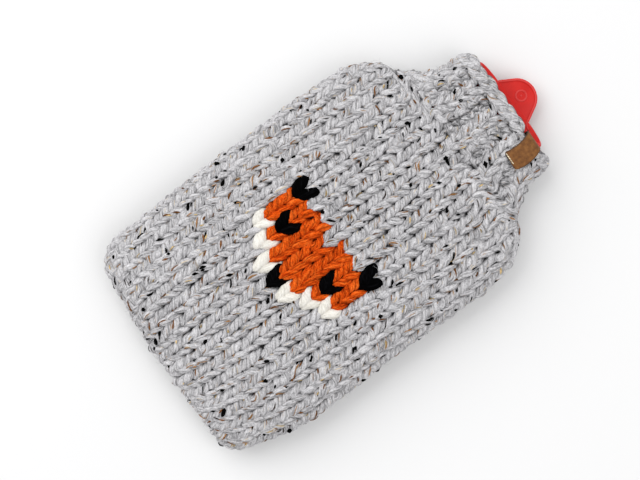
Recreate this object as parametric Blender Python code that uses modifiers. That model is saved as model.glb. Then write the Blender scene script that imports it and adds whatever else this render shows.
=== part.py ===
"""Knitted hot water bottle cover, lying on its back, with the rubber bottle in it.

Metres, +Z up. The cover rests on z = 0. +Y runs from its bottom fold to the bottle's
hanging tab, and +X to the side of the collar that carries the leather label. The origin
is on the surface, under the middle of the whole length.

Heights along the cover are measured from the bottom fold and turned into Y at the end.
"""

import math
from collections import namedtuple

import bmesh
import bpy
import numpy as np

# ---- driving sizes --------------------------------------------------------------------

TOTAL_LENGTH = 0.3673      # bottom fold to the top of the hanging tab
COLLAR_EDGE = 0.3398       # bottom fold to the bound-off edge of the collar
WALL = 0.009               # thickness of the knitted fabric
RIM_STEPS = 4              # flat strips round the bound-off edge
POINTS_AROUND = 60         # points in a section, six to each rib of the collar
OUTLINE_STEPS = 1440       # fine steps from which those points are picked
SQUARENESS = 2.6           # exponent of a section: 2 is an ellipse, more is fuller
UNDERSIDE_PRESS = 1.12     # the underside bulges this much more, then lies flat
CORNER_RISE = 0.0075       # the bottom fold climbs this far towards its -X corner
CORNER_RISE_BEND = 1.5     # exponent of that climb across the width
CORNER_RISE_END = 0.080    # and the slant has faded out here

MIDDLE_SHIFT = -0.0012     # the front's middle line lies this far towards -X

RIBS = 10                  # knit ribs around the collar, with as many purl grooves
RIB_HEIGHT = 0.0017        # a rib stands this far out, a groove this far in
RIB_START = 0.2883         # the ribs rise from here
RIB_FULL = 0.3003
RIB_FADE = 0.3283          # and fade out under the bound-off edge
RIB_END = 0.3343
RIB_SHIFT = -0.0027        # the front's middle rib lies this far from that line

FIT_GAP = 0.0005           # between the bottle and the inside of the cover
RUBBER_WALL = 0.0025
NECK_SHIFT = -0.0019       # the neck, funnel and tab lie this far off that line
MOUTH_SLANT = 0.0035       # the back of the mouth reaches this far on, its front falls as far short
LIP_BEVEL = 0.25           # the lip is narrower by this share of the wall on either side
LIP_RISE = 0.3             # and rises past the last section by this share
FLOOR_DRAW = 1.6           # walls by which the funnel's floor is drawn in

TAB_THICKNESS = 0.003
TAB_LIFT = 0.0005          # the tab's back face above the funnel's back face
TAB_TOP_RADIUS = 0.0163
TAB_TOP_STEPS = 12         # straight strips round half of the tab's top
TAB_FOOT_HALF_WIDTH = 0.0200
TAB_FOOT = 0.3483          # where the tab's straight sides end
TAB_FILLET_WIDTH = 0.0056  # a quarter ellipse runs from there into the mouth's lip
TAB_FILLET_HEIGHT = 0.0035
TAB_FILLET_STEPS = 4
TAB_ROOT = 0.3358          # the tab's plate reaches down to here in the funnel's back
TAB_BORDER = 0.0019        # width of the raised border of the tab
TAB_RELIEF = 0.0007        # depth of the panel inside that border
TAB_MARK = 0.3553          # centre of the moulded ring
TAB_MARK_RADIUS = 0.0045
TAB_MARK_WIDTH = 0.0008
TAB_MARK_HALF_HEIGHT = 0.0005
TAB_MARK_SIDES = 24
CUT_CLEARANCE = 0.002      # a cutter stands this far out of what it cuts

LABEL_CENTRE = 0.035       # from the middle line towards +X
LABEL_WIDTH = 0.0175
LABEL_LEATHER = 0.0015
LABEL_GAP = 0.0005
LABEL_OUTER_END = 0.3145
LABEL_INNER_END = 0.3218
LABEL_LEAN = 0.06          # sideways drift for each metre down the outer leg
LABEL_COLUMNS = 5          # points across the label
LABEL_OUTER_ROWS = 6       # and along its outer leg, its fold and its inner leg
LABEL_FOLD_ROWS = 9
LABEL_INNER_ROWS = 4

Section = namedtuple("Section", "along half_width low high")

# the cover's outside: distance from the bottom fold, half width, lowest and highest point
COVER = [
    Section(0.0000, 0.0800, 0.0135, 0.0225),
    Section(0.0018, 0.0860, 0.0085, 0.0272),
    Section(0.0055, 0.0897, 0.0032, 0.0325),
    Section(0.0110, 0.0928, 0.0002, 0.0362),
    Section(0.0180, 0.0965, 0.0000, 0.0388),
    Section(0.0373, 0.0996, 0.0000, 0.0410),
    Section(0.0603, 0.1020, 0.0000, 0.0427),
    Section(0.0913, 0.1033, 0.0000, 0.0435),
    Section(0.1303, 0.1039, 0.0000, 0.0440),
    Section(0.1703, 0.1043, 0.0000, 0.0440),
    Section(0.2083, 0.1046, 0.0000, 0.0438),
    Section(0.2373, 0.1040, 0.0000, 0.0432),
    Section(0.2543, 0.1018, 0.0000, 0.0427),
    Section(0.2643, 0.0985, 0.0000, 0.0423),
    Section(0.2723, 0.0944, 0.0000, 0.0419),
    Section(0.2793, 0.0892, 0.0000, 0.0415),
    Section(0.2858, 0.0822, 0.0002, 0.0411),
    Section(0.2923, 0.0740, 0.0006, 0.0406),
    Section(0.2983, 0.0668, 0.0010, 0.0401),
    Section(0.3043, 0.0622, 0.0013, 0.0396),
    Section(0.3113, 0.0594, 0.0013, 0.0391),
    Section(0.3193, 0.0580, 0.0013, 0.0387),
    Section(0.3273, 0.0572, 0.0011, 0.0384),
    Section(0.3353, 0.0562, 0.0008, 0.0382),
]

# the two sides are not quite alike: how much wider each one is at its edge, and how much
# further up the cloth sits at the +X edge
Sides = namedtuple("Sides", "along left right lift")
SIDES = [
    Sides(0.0000, 0.0040, 0.0000, 0.0000),
    Sides(0.0110, 0.0050, 0.0000, 0.0000),
    Sides(0.0180, 0.0044, 0.0000, 0.0000),
    Sides(0.0300, 0.0030, 0.0004, 0.0000),
    Sides(0.0440, 0.0006, 0.0030, 0.0000),
    Sides(0.0520, 0.0000, 0.0040, 0.0000),
    Sides(0.0740, 0.0000, 0.0048, 0.0000),
    Sides(0.0920, 0.0000, 0.0036, 0.0000),
    Sides(0.1220, 0.0000, 0.0028, 0.0000),
    Sides(0.1400, 0.0000, 0.0014, 0.0000),
    Sides(0.1900, 0.0000, 0.0012, 0.0000),
    Sides(0.2170, 0.0000, 0.0021, 0.0012),
    Sides(0.2440, 0.0000, 0.0026, 0.0040),
    Sides(0.2580, 0.0000, 0.0019, 0.0062),
    Sides(0.2720, 0.0000, 0.0006, 0.0074),
    Sides(0.3000, 0.0000, 0.0000, 0.0074),
    Sides(0.3150, 0.0000, 0.0000, 0.0050),
    Sides(0.3353, 0.0000, 0.0006, 0.0000),
]

# the rounded closed end of the hollow, below where it simply follows the outside
HOLLOW_END = [
    Section(0.0095, 0.0740, 0.0150, 0.0200),
    Section(0.0118, 0.0800, 0.0118, 0.0242),
    Section(0.0155, 0.0840, 0.0095, 0.0274),
]

# the bottle's shoulder, neck and flared funnel, above its full body
BOTTLE_TOP = [
    Section(0.2763, 0.0770, 0.0097, 0.0320),
    Section(0.2838, 0.0640, 0.0098, 0.0318),
    Section(0.2903, 0.0490, 0.0102, 0.0315),
    Section(0.2958, 0.0350, 0.0106, 0.0312),
    Section(0.3008, 0.0245, 0.0108, 0.0308),
    Section(0.3068, 0.0195, 0.0108, 0.0303),
    Section(0.3128, 0.0195, 0.0108, 0.0300),
    Section(0.3193, 0.0225, 0.0108, 0.0292),
    Section(0.3263, 0.0290, 0.0108, 0.0282),
    Section(0.3338, 0.0360, 0.0108, 0.0273),
    Section(0.3393, 0.0400, 0.0108, 0.0267),
    Section(0.3423, 0.0408, 0.0109, 0.0264),
]
FUNNEL_FLOOR = 0.3168      # the funnel is hollow down to here
NECK = 0.3128              # the narrowest place, above which the funnel leans
BOTTLE_SHOULDER = 0.2703   # the body follows the cover's inside up to here


# ---- shared tools ---------------------------------------------------------------------

def clear_scene():
    for old in list(bpy.data.objects):
        bpy.data.objects.remove(old, do_unlink=True)


def make_collection(name):
    collection = bpy.data.collections.new(name)
    bpy.context.scene.collection.children.link(collection)
    return collection


def make_material(name, colour, roughness):
    material = bpy.data.materials.new(name)
    material.use_nodes = True
    shader = material.node_tree.nodes["Principled BSDF"]
    shader.inputs["Base Color"].default_value = (*colour, 1.0)
    shader.inputs["Roughness"].default_value = roughness
    shader.inputs["Metallic"].default_value = 0.0
    return material


def to_y(along):
    return along - TOTAL_LENGTH / 2


def section_at(table, along):
    """The section at a distance from the bottom fold, read between the table's rows."""
    places = [row.along for row in table]
    half_width, low, high = (
        float(np.interp(along, places, [getattr(row, column) for row in table]))
        for column in ("half_width", "low", "high"))
    return Section(along, half_width, low, high)


def inset(section, inwards, along=None):
    """The same section drawn in on every side, and moved along if a place is given."""
    return Section(section.along if along is None else along,
                   section.half_width - inwards, section.low + inwards, section.high - inwards)


def smooth_step(value, start, end):
    part = min(max((value - start) / (end - start), 0.0), 1.0)
    return part * part * (3 - 2 * part)


def corner_rise(along, x):
    """How far the cloth slants up towards the -X corner of the bottom fold."""
    fading = 1 - smooth_step(along, 0.0, CORNER_RISE_END)
    return CORNER_RISE * fading * (np.maximum(-x, 0.0) / COVER[0].half_width) ** CORNER_RISE_BEND


def uneven(along, x):
    """Across and along offsets of points x at one distance from the bottom fold.

    Both are the table's values times (x / half width)^2, so they act on the sides.
    """
    places = [row.along for row in SIDES]
    left, right, lift = (np.interp(along, places, [getattr(row, column) for row in SIDES])
                         for column in ("left", "right", "lift"))
    share = (x / section_at(COVER, along).half_width) ** 2
    return np.where(x > 0, right, -left) * share, np.where(x > 0, lift, 0.0) * share


def upper_height(section, across):
    """Height of a section's upper side at a distance from its middle line."""
    middle = (section.low + section.high) / 2
    share = 1 - (abs(across) / section.half_width) ** SQUARENESS
    return middle + (section.high - middle) * share ** (1 / SQUARENESS)


def ring(section, rib=0.0):
    """Points of one section, evenly spaced along its outline from the top towards +X.

    The outline is a superellipse whose underside is pressed flat; rib moves the points
    outwards and inwards in a cosine wave with one crest for each knit rib.
    """
    fine = np.linspace(0, 2 * math.pi, OUTLINE_STEPS + 1)
    sine, cosine = np.sin(fine), np.cos(fine)
    power = 2 / SQUARENESS
    middle = (section.low + section.high) / 2
    half_height = (section.high - section.low) / 2
    across = section.half_width * np.sign(sine) * np.abs(sine) ** power
    lift = half_height * np.sign(cosine) * np.abs(cosine) ** power
    lift = np.where(cosine < 0, np.maximum(lift * UNDERSIDE_PRESS, -half_height), lift)
    outline = np.stack([across, middle + lift], axis=1)

    steps = np.linalg.norm(np.diff(outline, axis=0), axis=1)
    travelled = np.concatenate([[0.0], np.cumsum(steps)])
    wanted = np.arange(POINTS_AROUND) / POINTS_AROUND * travelled[-1]
    x = np.interp(wanted, travelled, outline[:, 0])
    z = np.interp(wanted, travelled, outline[:, 1])

    if rib:
        ahead = np.stack([np.roll(x, -1) - np.roll(x, 1), np.roll(z, -1) - np.roll(z, 1)])
        ahead /= np.linalg.norm(ahead, axis=0)
        wave = rib * np.cos(2 * math.pi * RIBS * (wanted - RIB_SHIFT) / travelled[-1])
        x = x - ahead[1] * wave
        z = z + ahead[0] * wave
        z = np.maximum(z, 0.0)
    wider, higher = uneven(section.along, x)
    along = section.along + corner_rise(section.along, x) + higher
    return np.stack([x + wider + MIDDLE_SHIFT, to_y(along), z], axis=1)


def cap(builder, loop):
    """Close a ring with a ladder of faces from its upper side to its lower side."""
    half = POINTS_AROUND // 2
    for step in range(-half // 2, half // 2):
        corners = [loop[i % POINTS_AROUND] for i in (step, step + 1, half - step - 1, half - step)]
        builder.faces.new(list(dict.fromkeys(corners)))


def loft(name, rings, material, collection):
    """A closed body through the rings in order, with a flat cap on the first and last."""
    mesh = bpy.data.meshes.new(name)
    builder = bmesh.new()
    loops = [[builder.verts.new(point) for point in points] for points in rings]
    for lower, upper in zip(loops, loops[1:]):
        for i in range(POINTS_AROUND):
            j = (i + 1) % POINTS_AROUND
            builder.faces.new((lower[i], lower[j], upper[j], upper[i]))
    for loop in (loops[0], loops[-1]):
        cap(builder, loop)
    bmesh.ops.recalc_face_normals(builder, faces=builder.faces)
    builder.to_mesh(mesh)
    builder.free()
    return place(name, mesh, material, collection)


def place(name, mesh, material, collection):
    mesh.shade_smooth()
    mesh.set_sharp_from_angle(angle=math.radians(50))
    body = bpy.data.objects.new(name, mesh)
    body.data.materials.append(material)
    collection.objects.link(body)
    return body


def hide_cutter(cutter):
    cutter.hide_render = True
    cutter.display_type = "WIRE"


def combine(body, other, operation):
    change = body.modifiers.new(operation.title() + " " + other.name, "BOOLEAN")
    change.operation = operation
    change.solver = "EXACT"
    change.object = other
    hide_cutter(other)


# ---- the knitted cover ----------------------------------------------------------------

def rib_at(along):
    """Height of the collar's ribs, which rise above the shoulder and fade at the edge."""
    rising = smooth_step(along, RIB_START, RIB_FULL)
    fading = 1 - smooth_step(along, RIB_FADE, RIB_END)
    return RIB_HEIGHT * rising * fading


def hollow_sections():
    """The inside of the fabric, from its closed end to the collar's mouth."""
    follow = [inset(row, WALL) for row in COVER if row.along > HOLLOW_END[-1].along]
    return HOLLOW_END + follow


def rim_sections():
    """Over the bound-off edge: half a circle from the outside of the wall to its inside."""
    last = COVER[-1]
    radius = WALL / 2
    for step in range(1, RIM_STEPS):
        turn = math.pi * step / RIM_STEPS
        inwards = radius * (1 - math.cos(turn))
        along = COLLAR_EDGE - radius + radius * math.sin(turn)
        yield inset(last, inwards, along)


def knitted_cover(material, collection):
    outside = [ring(row, rib_at(row.along)) for row in COVER]
    rim = [ring(row) for row in rim_sections()]
    inside = [ring(row) for row in reversed(hollow_sections())]
    return loft("knitted_cover", outside + rim + inside, material, collection)


# ---- the rubber bottle ----------------------------------------------------------------

def bottle_sections():
    """The bottle's outside: it fills the hollow, then narrows to its neck and funnel."""
    hollow = hollow_sections()
    body = [inset(row, FIT_GAP, row.along + FIT_GAP) for row in HOLLOW_END]
    body += [inset(row, FIT_GAP) for row in hollow[len(HOLLOW_END):] if row.along < BOTTLE_SHOULDER]
    return body + BOTTLE_TOP


def funnel_hollow():
    """The inside of the funnel, from its mouth down to its plain floor."""
    mouth = BOTTLE_TOP[-1]
    lip = mouth.along + RUBBER_WALL * LIP_RISE
    yield inset(mouth, RUBBER_WALL * LIP_BEVEL, lip)
    yield inset(mouth, RUBBER_WALL * (1 - LIP_BEVEL), lip)
    for row in reversed(BOTTLE_TOP):
        if row.along > FUNNEL_FLOOR:
            yield inset(row, RUBBER_WALL)
    floor = section_at(BOTTLE_TOP, FUNNEL_FLOOR)
    yield inset(floor, RUBBER_WALL * FLOOR_DRAW)


def bottle_ring(section):
    """A section of the bottle: its neck stands off the middle line and its funnel leans.

    Towards the mouth each point moves along by the slant times its height below the
    section's middle, in half heights.
    """
    points = ring(section)
    middle = (section.low + section.high) / 2
    below_middle = (middle - points[:, 2]) / (section.high - middle)
    points[:, 0] += NECK_SHIFT * smooth_step(section.along, BOTTLE_SHOULDER, NECK)
    points[:, 1] += MOUTH_SLANT * smooth_step(section.along, NECK, BOTTLE_TOP[-1].along) * below_middle
    return points


def tab_outline(inwards=0.0):
    """Half outline of the hanging tab, as (across, along) from its top to its root.

    A round top runs into straight sides that spread to the foot and end in a small
    concave fillet; inwards draws the whole outline in by that distance.
    """
    top_centre = TOTAL_LENGTH - TAB_TOP_RADIUS
    reach = math.hypot(TAB_FOOT_HALF_WIDTH, top_centre - TAB_FOOT)
    lean = math.atan2(TAB_FOOT_HALF_WIDTH, top_centre - TAB_FOOT)
    side_turn = lean - math.asin(TAB_TOP_RADIUS / reach)       # slope of the side from the length
    radius = TAB_TOP_RADIUS - inwards
    points = []
    for turn in np.linspace(0, math.pi / 2 - side_turn, TAB_TOP_STEPS + 1):
        points.append((radius * math.sin(turn), top_centre + radius * math.cos(turn)))
    foot_across = TAB_FOOT_HALF_WIDTH - inwards / math.cos(side_turn)
    if inwards:
        points.append((foot_across, TAB_FOOT))
        points.append((foot_across, TAB_FOOT - TAB_FILLET_HEIGHT))
        return points
    for turn in np.linspace(0, math.pi / 2, TAB_FILLET_STEPS + 1)[1:]:
        points.append((foot_across + TAB_FILLET_WIDTH * (1 - math.cos(turn)),
                       TAB_FOOT - TAB_FILLET_HEIGHT * math.sin(turn)))
    points.append((foot_across + TAB_FILLET_WIDTH, TAB_ROOT))
    return points


def plate(name, half_outline, low, high, collection):
    """A flat plate between two heights, its outline mirrored about the middle line."""
    right = [(across, along) for across, along in half_outline if across > 1e-6]
    left = [(-across, along) for across, along in reversed(right)]
    top = [(0.0, half_outline[0][1])]
    curve = bpy.data.curves.new(name, "CURVE")
    curve.dimensions = "2D"
    curve.fill_mode = "BOTH"
    curve.extrude = (high - low) / 2
    outline = top + right + left
    spline = curve.splines.new("POLY")
    spline.points.add(len(outline) - 1)
    for point, (across, along) in zip(spline.points, outline):
        point.co = (across + MIDDLE_SHIFT + NECK_SHIFT, to_y(along), 0.0, 1.0)
    spline.use_cyclic_u = True
    return solid_from_curve(name, curve, (low + high) / 2, collection)


def solid_from_curve(name, curve, height, collection):
    guide = bpy.data.objects.new(name + " guide", curve)
    guide.location.z = height
    collection.objects.link(guide)
    bpy.context.view_layer.update()
    evaluated = guide.evaluated_get(bpy.context.evaluated_depsgraph_get())
    mesh = bpy.data.meshes.new_from_object(evaluated)
    mesh.name = name
    builder = bmesh.new()
    builder.from_mesh(mesh)
    bmesh.ops.remove_doubles(builder, verts=builder.verts, dist=1e-6)
    bmesh.ops.recalc_face_normals(builder, faces=builder.faces)
    builder.to_mesh(mesh)
    builder.free()
    solid = bpy.data.objects.new(name, mesh)
    solid.matrix_world = guide.matrix_world
    collection.objects.link(solid)
    bpy.data.objects.remove(guide, do_unlink=True)
    return solid


def tab_mark(height, collection):
    """The moulded ring: a short tube standing on the tab's panel."""
    mesh = bpy.data.meshes.new("tab mark")
    builder = bmesh.new()
    inner = TAB_MARK_RADIUS - TAB_MARK_WIDTH
    corners = ((TAB_MARK_RADIUS, -1), (TAB_MARK_RADIUS, 1), (inner, 1), (inner, -1))
    rings = []
    turns = [2 * math.pi * i / TAB_MARK_SIDES for i in range(TAB_MARK_SIDES)]
    centre = MIDDLE_SHIFT + NECK_SHIFT
    for radius, side in corners:
        rings.append([builder.verts.new((centre + radius * math.cos(turn),
                                         to_y(TAB_MARK) + radius * math.sin(turn),
                                         height + side * TAB_MARK_HALF_HEIGHT)) for turn in turns])
    for lower, upper in zip(rings, rings[1:] + rings[:1]):
        for i in range(TAB_MARK_SIDES):
            j = (i + 1) % TAB_MARK_SIDES
            builder.faces.new((lower[i], lower[j], upper[j], upper[i]))
    bmesh.ops.recalc_face_normals(builder, faces=builder.faces)
    builder.to_mesh(mesh)
    builder.free()
    mark = bpy.data.objects.new("tab mark", mesh)
    collection.objects.link(mark)
    return mark


def rubber_bottle(material, collection, cutters):
    outside = [bottle_ring(row) for row in bottle_sections()]
    inside = [bottle_ring(row) for row in funnel_hollow()]
    bottle = loft("rubber_bottle", outside + inside, material, collection)

    back = BOTTLE_TOP[-2].low + TAB_LIFT
    front = back + TAB_THICKNESS
    tab = plate("tab", tab_outline(), back, front, cutters)
    panel = plate("tab panel", tab_outline(TAB_BORDER), front - TAB_RELIEF, front + CUT_CLEARANCE, cutters)
    combine(tab, panel, "DIFFERENCE")
    combine(bottle, tab, "UNION")
    combine(bottle, tab_mark(front - TAB_RELIEF, cutters), "UNION")
    return bottle


# ---- the leather label ----------------------------------------------------------------

def label_path(across):
    """(along, height) points of the label's middle surface at one distance from the middle.

    It runs up the front of the collar, over the bound-off edge in half a circle, and down
    inside, clear of the wall by LABEL_GAP.
    """
    stand_off = LABEL_GAP + LABEL_LEATHER / 2
    fold_start = COVER[-1].along
    inner_last = inset(COVER[-1], WALL)
    outer_height = upper_height(COVER[-1], across)
    inner_height = upper_height(inner_last, across)
    radius = (outer_height - inner_height) / 2 + stand_off
    fold_height = (outer_height + inner_height) / 2

    points = []
    for along in np.linspace(LABEL_OUTER_END, fold_start, LABEL_OUTER_ROWS)[:-1]:
        row = inset(section_at(COVER, along), -rib_at(along))
        points.append((along, upper_height(row, across) + stand_off))
    for turn in np.linspace(0, math.pi, LABEL_FOLD_ROWS):
        points.append((fold_start + radius * math.sin(turn), fold_height + radius * math.cos(turn)))
    for along in np.linspace(fold_start, LABEL_INNER_END, LABEL_INNER_ROWS)[1:]:
        row = inset(section_at(COVER, along), WALL)
        points.append((along, upper_height(row, across) - stand_off))
    return points


def leather_label(material, collection):
    mesh = bpy.data.meshes.new("leather_label")
    builder = bmesh.new()
    columns = []
    for side in np.linspace(-0.5, 0.5, LABEL_COLUMNS):
        across = LABEL_CENTRE + side * LABEL_WIDTH
        column = []
        for along, height in label_path(across):
            drift = LABEL_LEAN * (along - COLLAR_EDGE)
            column.append(builder.verts.new((across + MIDDLE_SHIFT + drift, to_y(along), height)))
        columns.append(column)
    for left, right in zip(columns, columns[1:]):
        for i in range(len(left) - 1):
            builder.faces.new((left[i], right[i], right[i + 1], left[i + 1]))
    bmesh.ops.recalc_face_normals(builder, faces=builder.faces)
    builder.to_mesh(mesh)
    builder.free()
    label = place("leather_label", mesh, material, collection)
    leather = label.modifiers.new("Leather", "SOLIDIFY")
    leather.thickness = LABEL_LEATHER
    leather.offset = 0.0
    return label


def main():
    clear_scene()
    parts = make_collection("hot_water_bottle_cover")
    cutters = make_collection("cutters")
    yarn = make_material("grey tweed yarn", (0.53, 0.54, 0.56), 0.95)
    rubber = make_material("red rubber", (0.61, 0.03, 0.023), 0.5)
    leather = make_material("tan leather", (0.36, 0.17, 0.06), 0.6)
    knitted_cover(yarn, parts)
    rubber_bottle(rubber, parts, cutters)
    leather_label(leather, parts)


main()
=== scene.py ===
import math

import bpy
import numpy as np
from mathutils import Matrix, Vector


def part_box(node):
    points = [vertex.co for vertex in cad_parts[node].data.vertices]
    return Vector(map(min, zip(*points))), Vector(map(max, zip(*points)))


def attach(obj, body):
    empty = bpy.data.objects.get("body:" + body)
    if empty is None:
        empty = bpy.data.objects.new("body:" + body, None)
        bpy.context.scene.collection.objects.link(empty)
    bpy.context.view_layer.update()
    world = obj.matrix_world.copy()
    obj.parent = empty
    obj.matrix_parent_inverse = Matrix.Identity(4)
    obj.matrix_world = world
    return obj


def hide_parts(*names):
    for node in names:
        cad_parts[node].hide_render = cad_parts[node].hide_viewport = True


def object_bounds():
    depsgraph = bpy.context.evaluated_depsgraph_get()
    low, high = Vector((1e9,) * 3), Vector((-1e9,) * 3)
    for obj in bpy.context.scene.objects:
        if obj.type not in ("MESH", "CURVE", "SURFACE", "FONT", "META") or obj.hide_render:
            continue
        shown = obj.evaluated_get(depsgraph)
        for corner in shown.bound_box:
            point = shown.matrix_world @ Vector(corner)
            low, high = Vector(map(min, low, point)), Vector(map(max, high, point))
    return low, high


# Knitted hot water bottle cover: every stitch is real yarn, laid on the surface of the CAD cover.
# Lengths are metres. "reach" is the distance up the cloth from the bottom seam, over the fold and
# along the front; "turn" is the fraction of the way round, from the front's middle towards +X.

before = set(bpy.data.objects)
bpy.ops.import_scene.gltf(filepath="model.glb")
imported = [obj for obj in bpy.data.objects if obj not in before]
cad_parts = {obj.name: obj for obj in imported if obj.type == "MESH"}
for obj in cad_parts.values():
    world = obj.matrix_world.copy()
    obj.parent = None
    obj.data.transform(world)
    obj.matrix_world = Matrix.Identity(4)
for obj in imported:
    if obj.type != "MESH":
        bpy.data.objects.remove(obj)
cadLow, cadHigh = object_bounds()
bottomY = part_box("knitted_cover")[0].y
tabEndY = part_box("rubber_bottle")[1].y
dice = np.random.default_rng(17)
print("frame loaded:", ", ".join(sorted(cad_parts)))


# the surface that the stitches lie on

cover = {
    # distance from the bottom fold, half width, lowest and highest point of each section
    "sections": np.array([
        (0.0000, 0.0795, 0.0172, 0.0188),
        (0.0000, 0.0800, 0.0135, 0.0225),
        (0.0018, 0.0860, 0.0085, 0.0272),
        (0.0055, 0.0897, 0.0032, 0.0325),
        (0.0110, 0.0928, 0.0002, 0.0362),
        (0.0180, 0.0965, 0.0000, 0.0388),
        (0.0373, 0.0996, 0.0000, 0.0410),
        (0.0603, 0.1020, 0.0000, 0.0427),
        (0.0913, 0.1033, 0.0000, 0.0435),
        (0.1303, 0.1039, 0.0000, 0.0440),
        (0.1703, 0.1043, 0.0000, 0.0440),
        (0.2083, 0.1046, 0.0000, 0.0438),
        (0.2373, 0.1040, 0.0000, 0.0432),
        (0.2543, 0.1018, 0.0000, 0.0427),
        (0.2643, 0.0985, 0.0000, 0.0423),
        (0.2723, 0.0944, 0.0000, 0.0419),
        (0.2793, 0.0892, 0.0000, 0.0415),
        (0.2858, 0.0822, 0.0002, 0.0411),
        (0.2923, 0.0740, 0.0006, 0.0406),
        (0.2983, 0.0668, 0.0010, 0.0401),
        (0.3043, 0.0622, 0.0013, 0.0396),
        (0.3113, 0.0594, 0.0013, 0.0391),
        (0.3193, 0.0580, 0.0013, 0.0387),
        (0.3273, 0.0572, 0.0011, 0.0384),
        (0.3353, 0.0562, 0.0008, 0.0382),
        (0.3523, 0.0560, 0.0008, 0.0382),
    ]),
    # the sides are not quite alike: for a distance from the bottom fold, how much wider the -X
    # and the +X edge are, and how much further up the cloth sits at the +X edge
    "sides": np.array([
        (0.0000, 0.0040, 0.0000, 0.0000),
        (0.0110, 0.0050, 0.0000, 0.0000),
        (0.0180, 0.0044, 0.0000, 0.0000),
        (0.0300, 0.0030, 0.0004, 0.0000),
        (0.0440, 0.0006, 0.0030, 0.0000),
        (0.0520, 0.0000, 0.0040, 0.0000),
        (0.0740, 0.0000, 0.0048, 0.0000),
        (0.0920, 0.0000, 0.0036, 0.0000),
        (0.1220, 0.0000, 0.0028, 0.0000),
        (0.1400, 0.0000, 0.0014, 0.0000),
        (0.1900, 0.0000, 0.0012, 0.0000),
        (0.2170, 0.0000, 0.0021, 0.0012),
        (0.2440, 0.0000, 0.0026, 0.0040),
        (0.2580, 0.0000, 0.0019, 0.0062),
        (0.2720, 0.0000, 0.0006, 0.0074),
        (0.3000, 0.0000, 0.0000, 0.0074),
        (0.3150, 0.0000, 0.0000, 0.0050),
        (0.3353, 0.0000, 0.0006, 0.0000),
    ]),
    "middle": -0.0012,         # x of the front's middle line
    "squareness": 2.6,         # exponent of a section: 2 is an ellipse, more is fuller
    "undersidePress": 1.12,    # the underside bulges this much more, then lies flat
    "cornerRise": 0.0075,      # the bottom fold climbs this far towards its -X corner
    "cornerRiseEnd": 0.080,
    "cornerRiseBend": 1.5,
    "reachStep": 0.002,        # grid of the surface
    "pointsAround": 288,
    "smoothing": 0.0035,       # width of the bell that evens out the corners between sections
    "smoothingSteps": 6,       # and its grid steps to each side
}


def smoothStep(value, start, end):  # 3p^2 - 2p^3, with p the share of the way from start to end
    part = np.clip((value - start) / (end - start), 0.0, 1.0)
    return part * part * (3 - 2 * part)


def travelAlong(x, y):  # the distance travelled along a flat line, at each of its points
    return np.concatenate([[0.0], np.cumsum(np.hypot(np.diff(x), np.diff(y)))])


def outlineRing(halfWidth, low, high, count):
    # |x/a|^n + |z/b|^n = 1, its lower half stretched and pressed flat at the lowest point;
    # count points evenly spaced along it, from the top towards +X
    fine = np.linspace(0, 2 * math.pi, 1441)
    power = 2 / cover["squareness"]
    halfHeight = (high - low) / 2
    x = halfWidth * np.sign(np.sin(fine)) * np.abs(np.sin(fine)) ** power
    z = halfHeight * np.sign(np.cos(fine)) * np.abs(np.cos(fine)) ** power
    z = np.where(z < 0, np.maximum(z * cover["undersidePress"], -halfHeight), z)
    travelled = travelAlong(x, z)
    wanted = np.arange(count) / count * travelled[-1]
    middle = (low + high) / 2
    ring = np.stack([np.interp(wanted, travelled, x), np.interp(wanted, travelled, z) + middle], 1)
    return ring, travelled[-1]


def layOut(ring, along):
    # a section's points on the object: both sides' offsets grow with (x / half width)^2, and the
    # bottom fold's slant with the distance towards -X
    sides, sections = cover["sides"], cover["sections"][1:]
    left, right, lift = (np.interp(along, sides[:, 0], sides[:, column]) for column in (1, 2, 3))
    x = ring[:, 0]
    share = (x / np.interp(along, sections[:, 0], sections[:, 1])) ** 2
    wider = np.where(x > 0, right, -left) * share
    higher = np.where(x > 0, lift, 0.0) * share
    fade = 1 - smoothStep(along, 0.0, cover["cornerRiseEnd"])
    leftShare = np.maximum(-x, 0) / sections[0, 1]
    higher = higher + cover["cornerRise"] * fade * leftShare ** cover["cornerRiseBend"]
    return np.stack([x + wider + cover["middle"], bottomY + along + higher, ring[:, 1]], 1)


def buildSurface():
    # the sections are read every reachStep along the front's middle line and smoothed with the bell
    # exp(-x^2 / 2); the normal is the cross product of the way round and the way up
    table = cover["sections"]
    frontReach = travelAlong(table[:, 0], table[:, 3])
    reach = np.arange(0, frontReach[-1], cover["reachStep"])
    columns = np.stack([np.interp(reach, frontReach, table[:, c]) for c in range(4)], 1)
    width = cover["smoothing"] / cover["reachStep"]
    steps = cover["smoothingSteps"]
    bell = np.exp(-0.5 * (np.arange(-steps, steps + 1) / width) ** 2)
    bell /= bell.sum()
    before = 2 * columns[0] - columns[steps:0:-1]
    after = 2 * columns[-1] - columns[-2:-2 - steps:-1]
    padded = np.concatenate([before, columns, after])
    columns = np.stack([np.convolve(padded[:, c], bell, "valid") for c in range(4)], 1)
    columns[:, 0] = np.maximum(columns[:, 0], 0)
    grid, around = [], []
    for along, halfWidth, low, high in columns:
        ring, length = outlineRing(halfWidth, low, high, cover["pointsAround"])
        grid.append(layOut(ring, along))
        around.append(length)
    points = np.array(grid)
    wayRound = np.roll(points, -1, 1) - np.roll(points, 1, 1)
    wayUp = np.gradient(points, axis=0)
    normals = np.cross(wayRound, wayUp)
    normals /= np.linalg.norm(normals, axis=2, keepdims=True)
    return {"points": points, "normals": normals, "around": np.array(around), "reach": reach,
            "along": columns[:, 0]}


surface = buildSurface()


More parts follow.
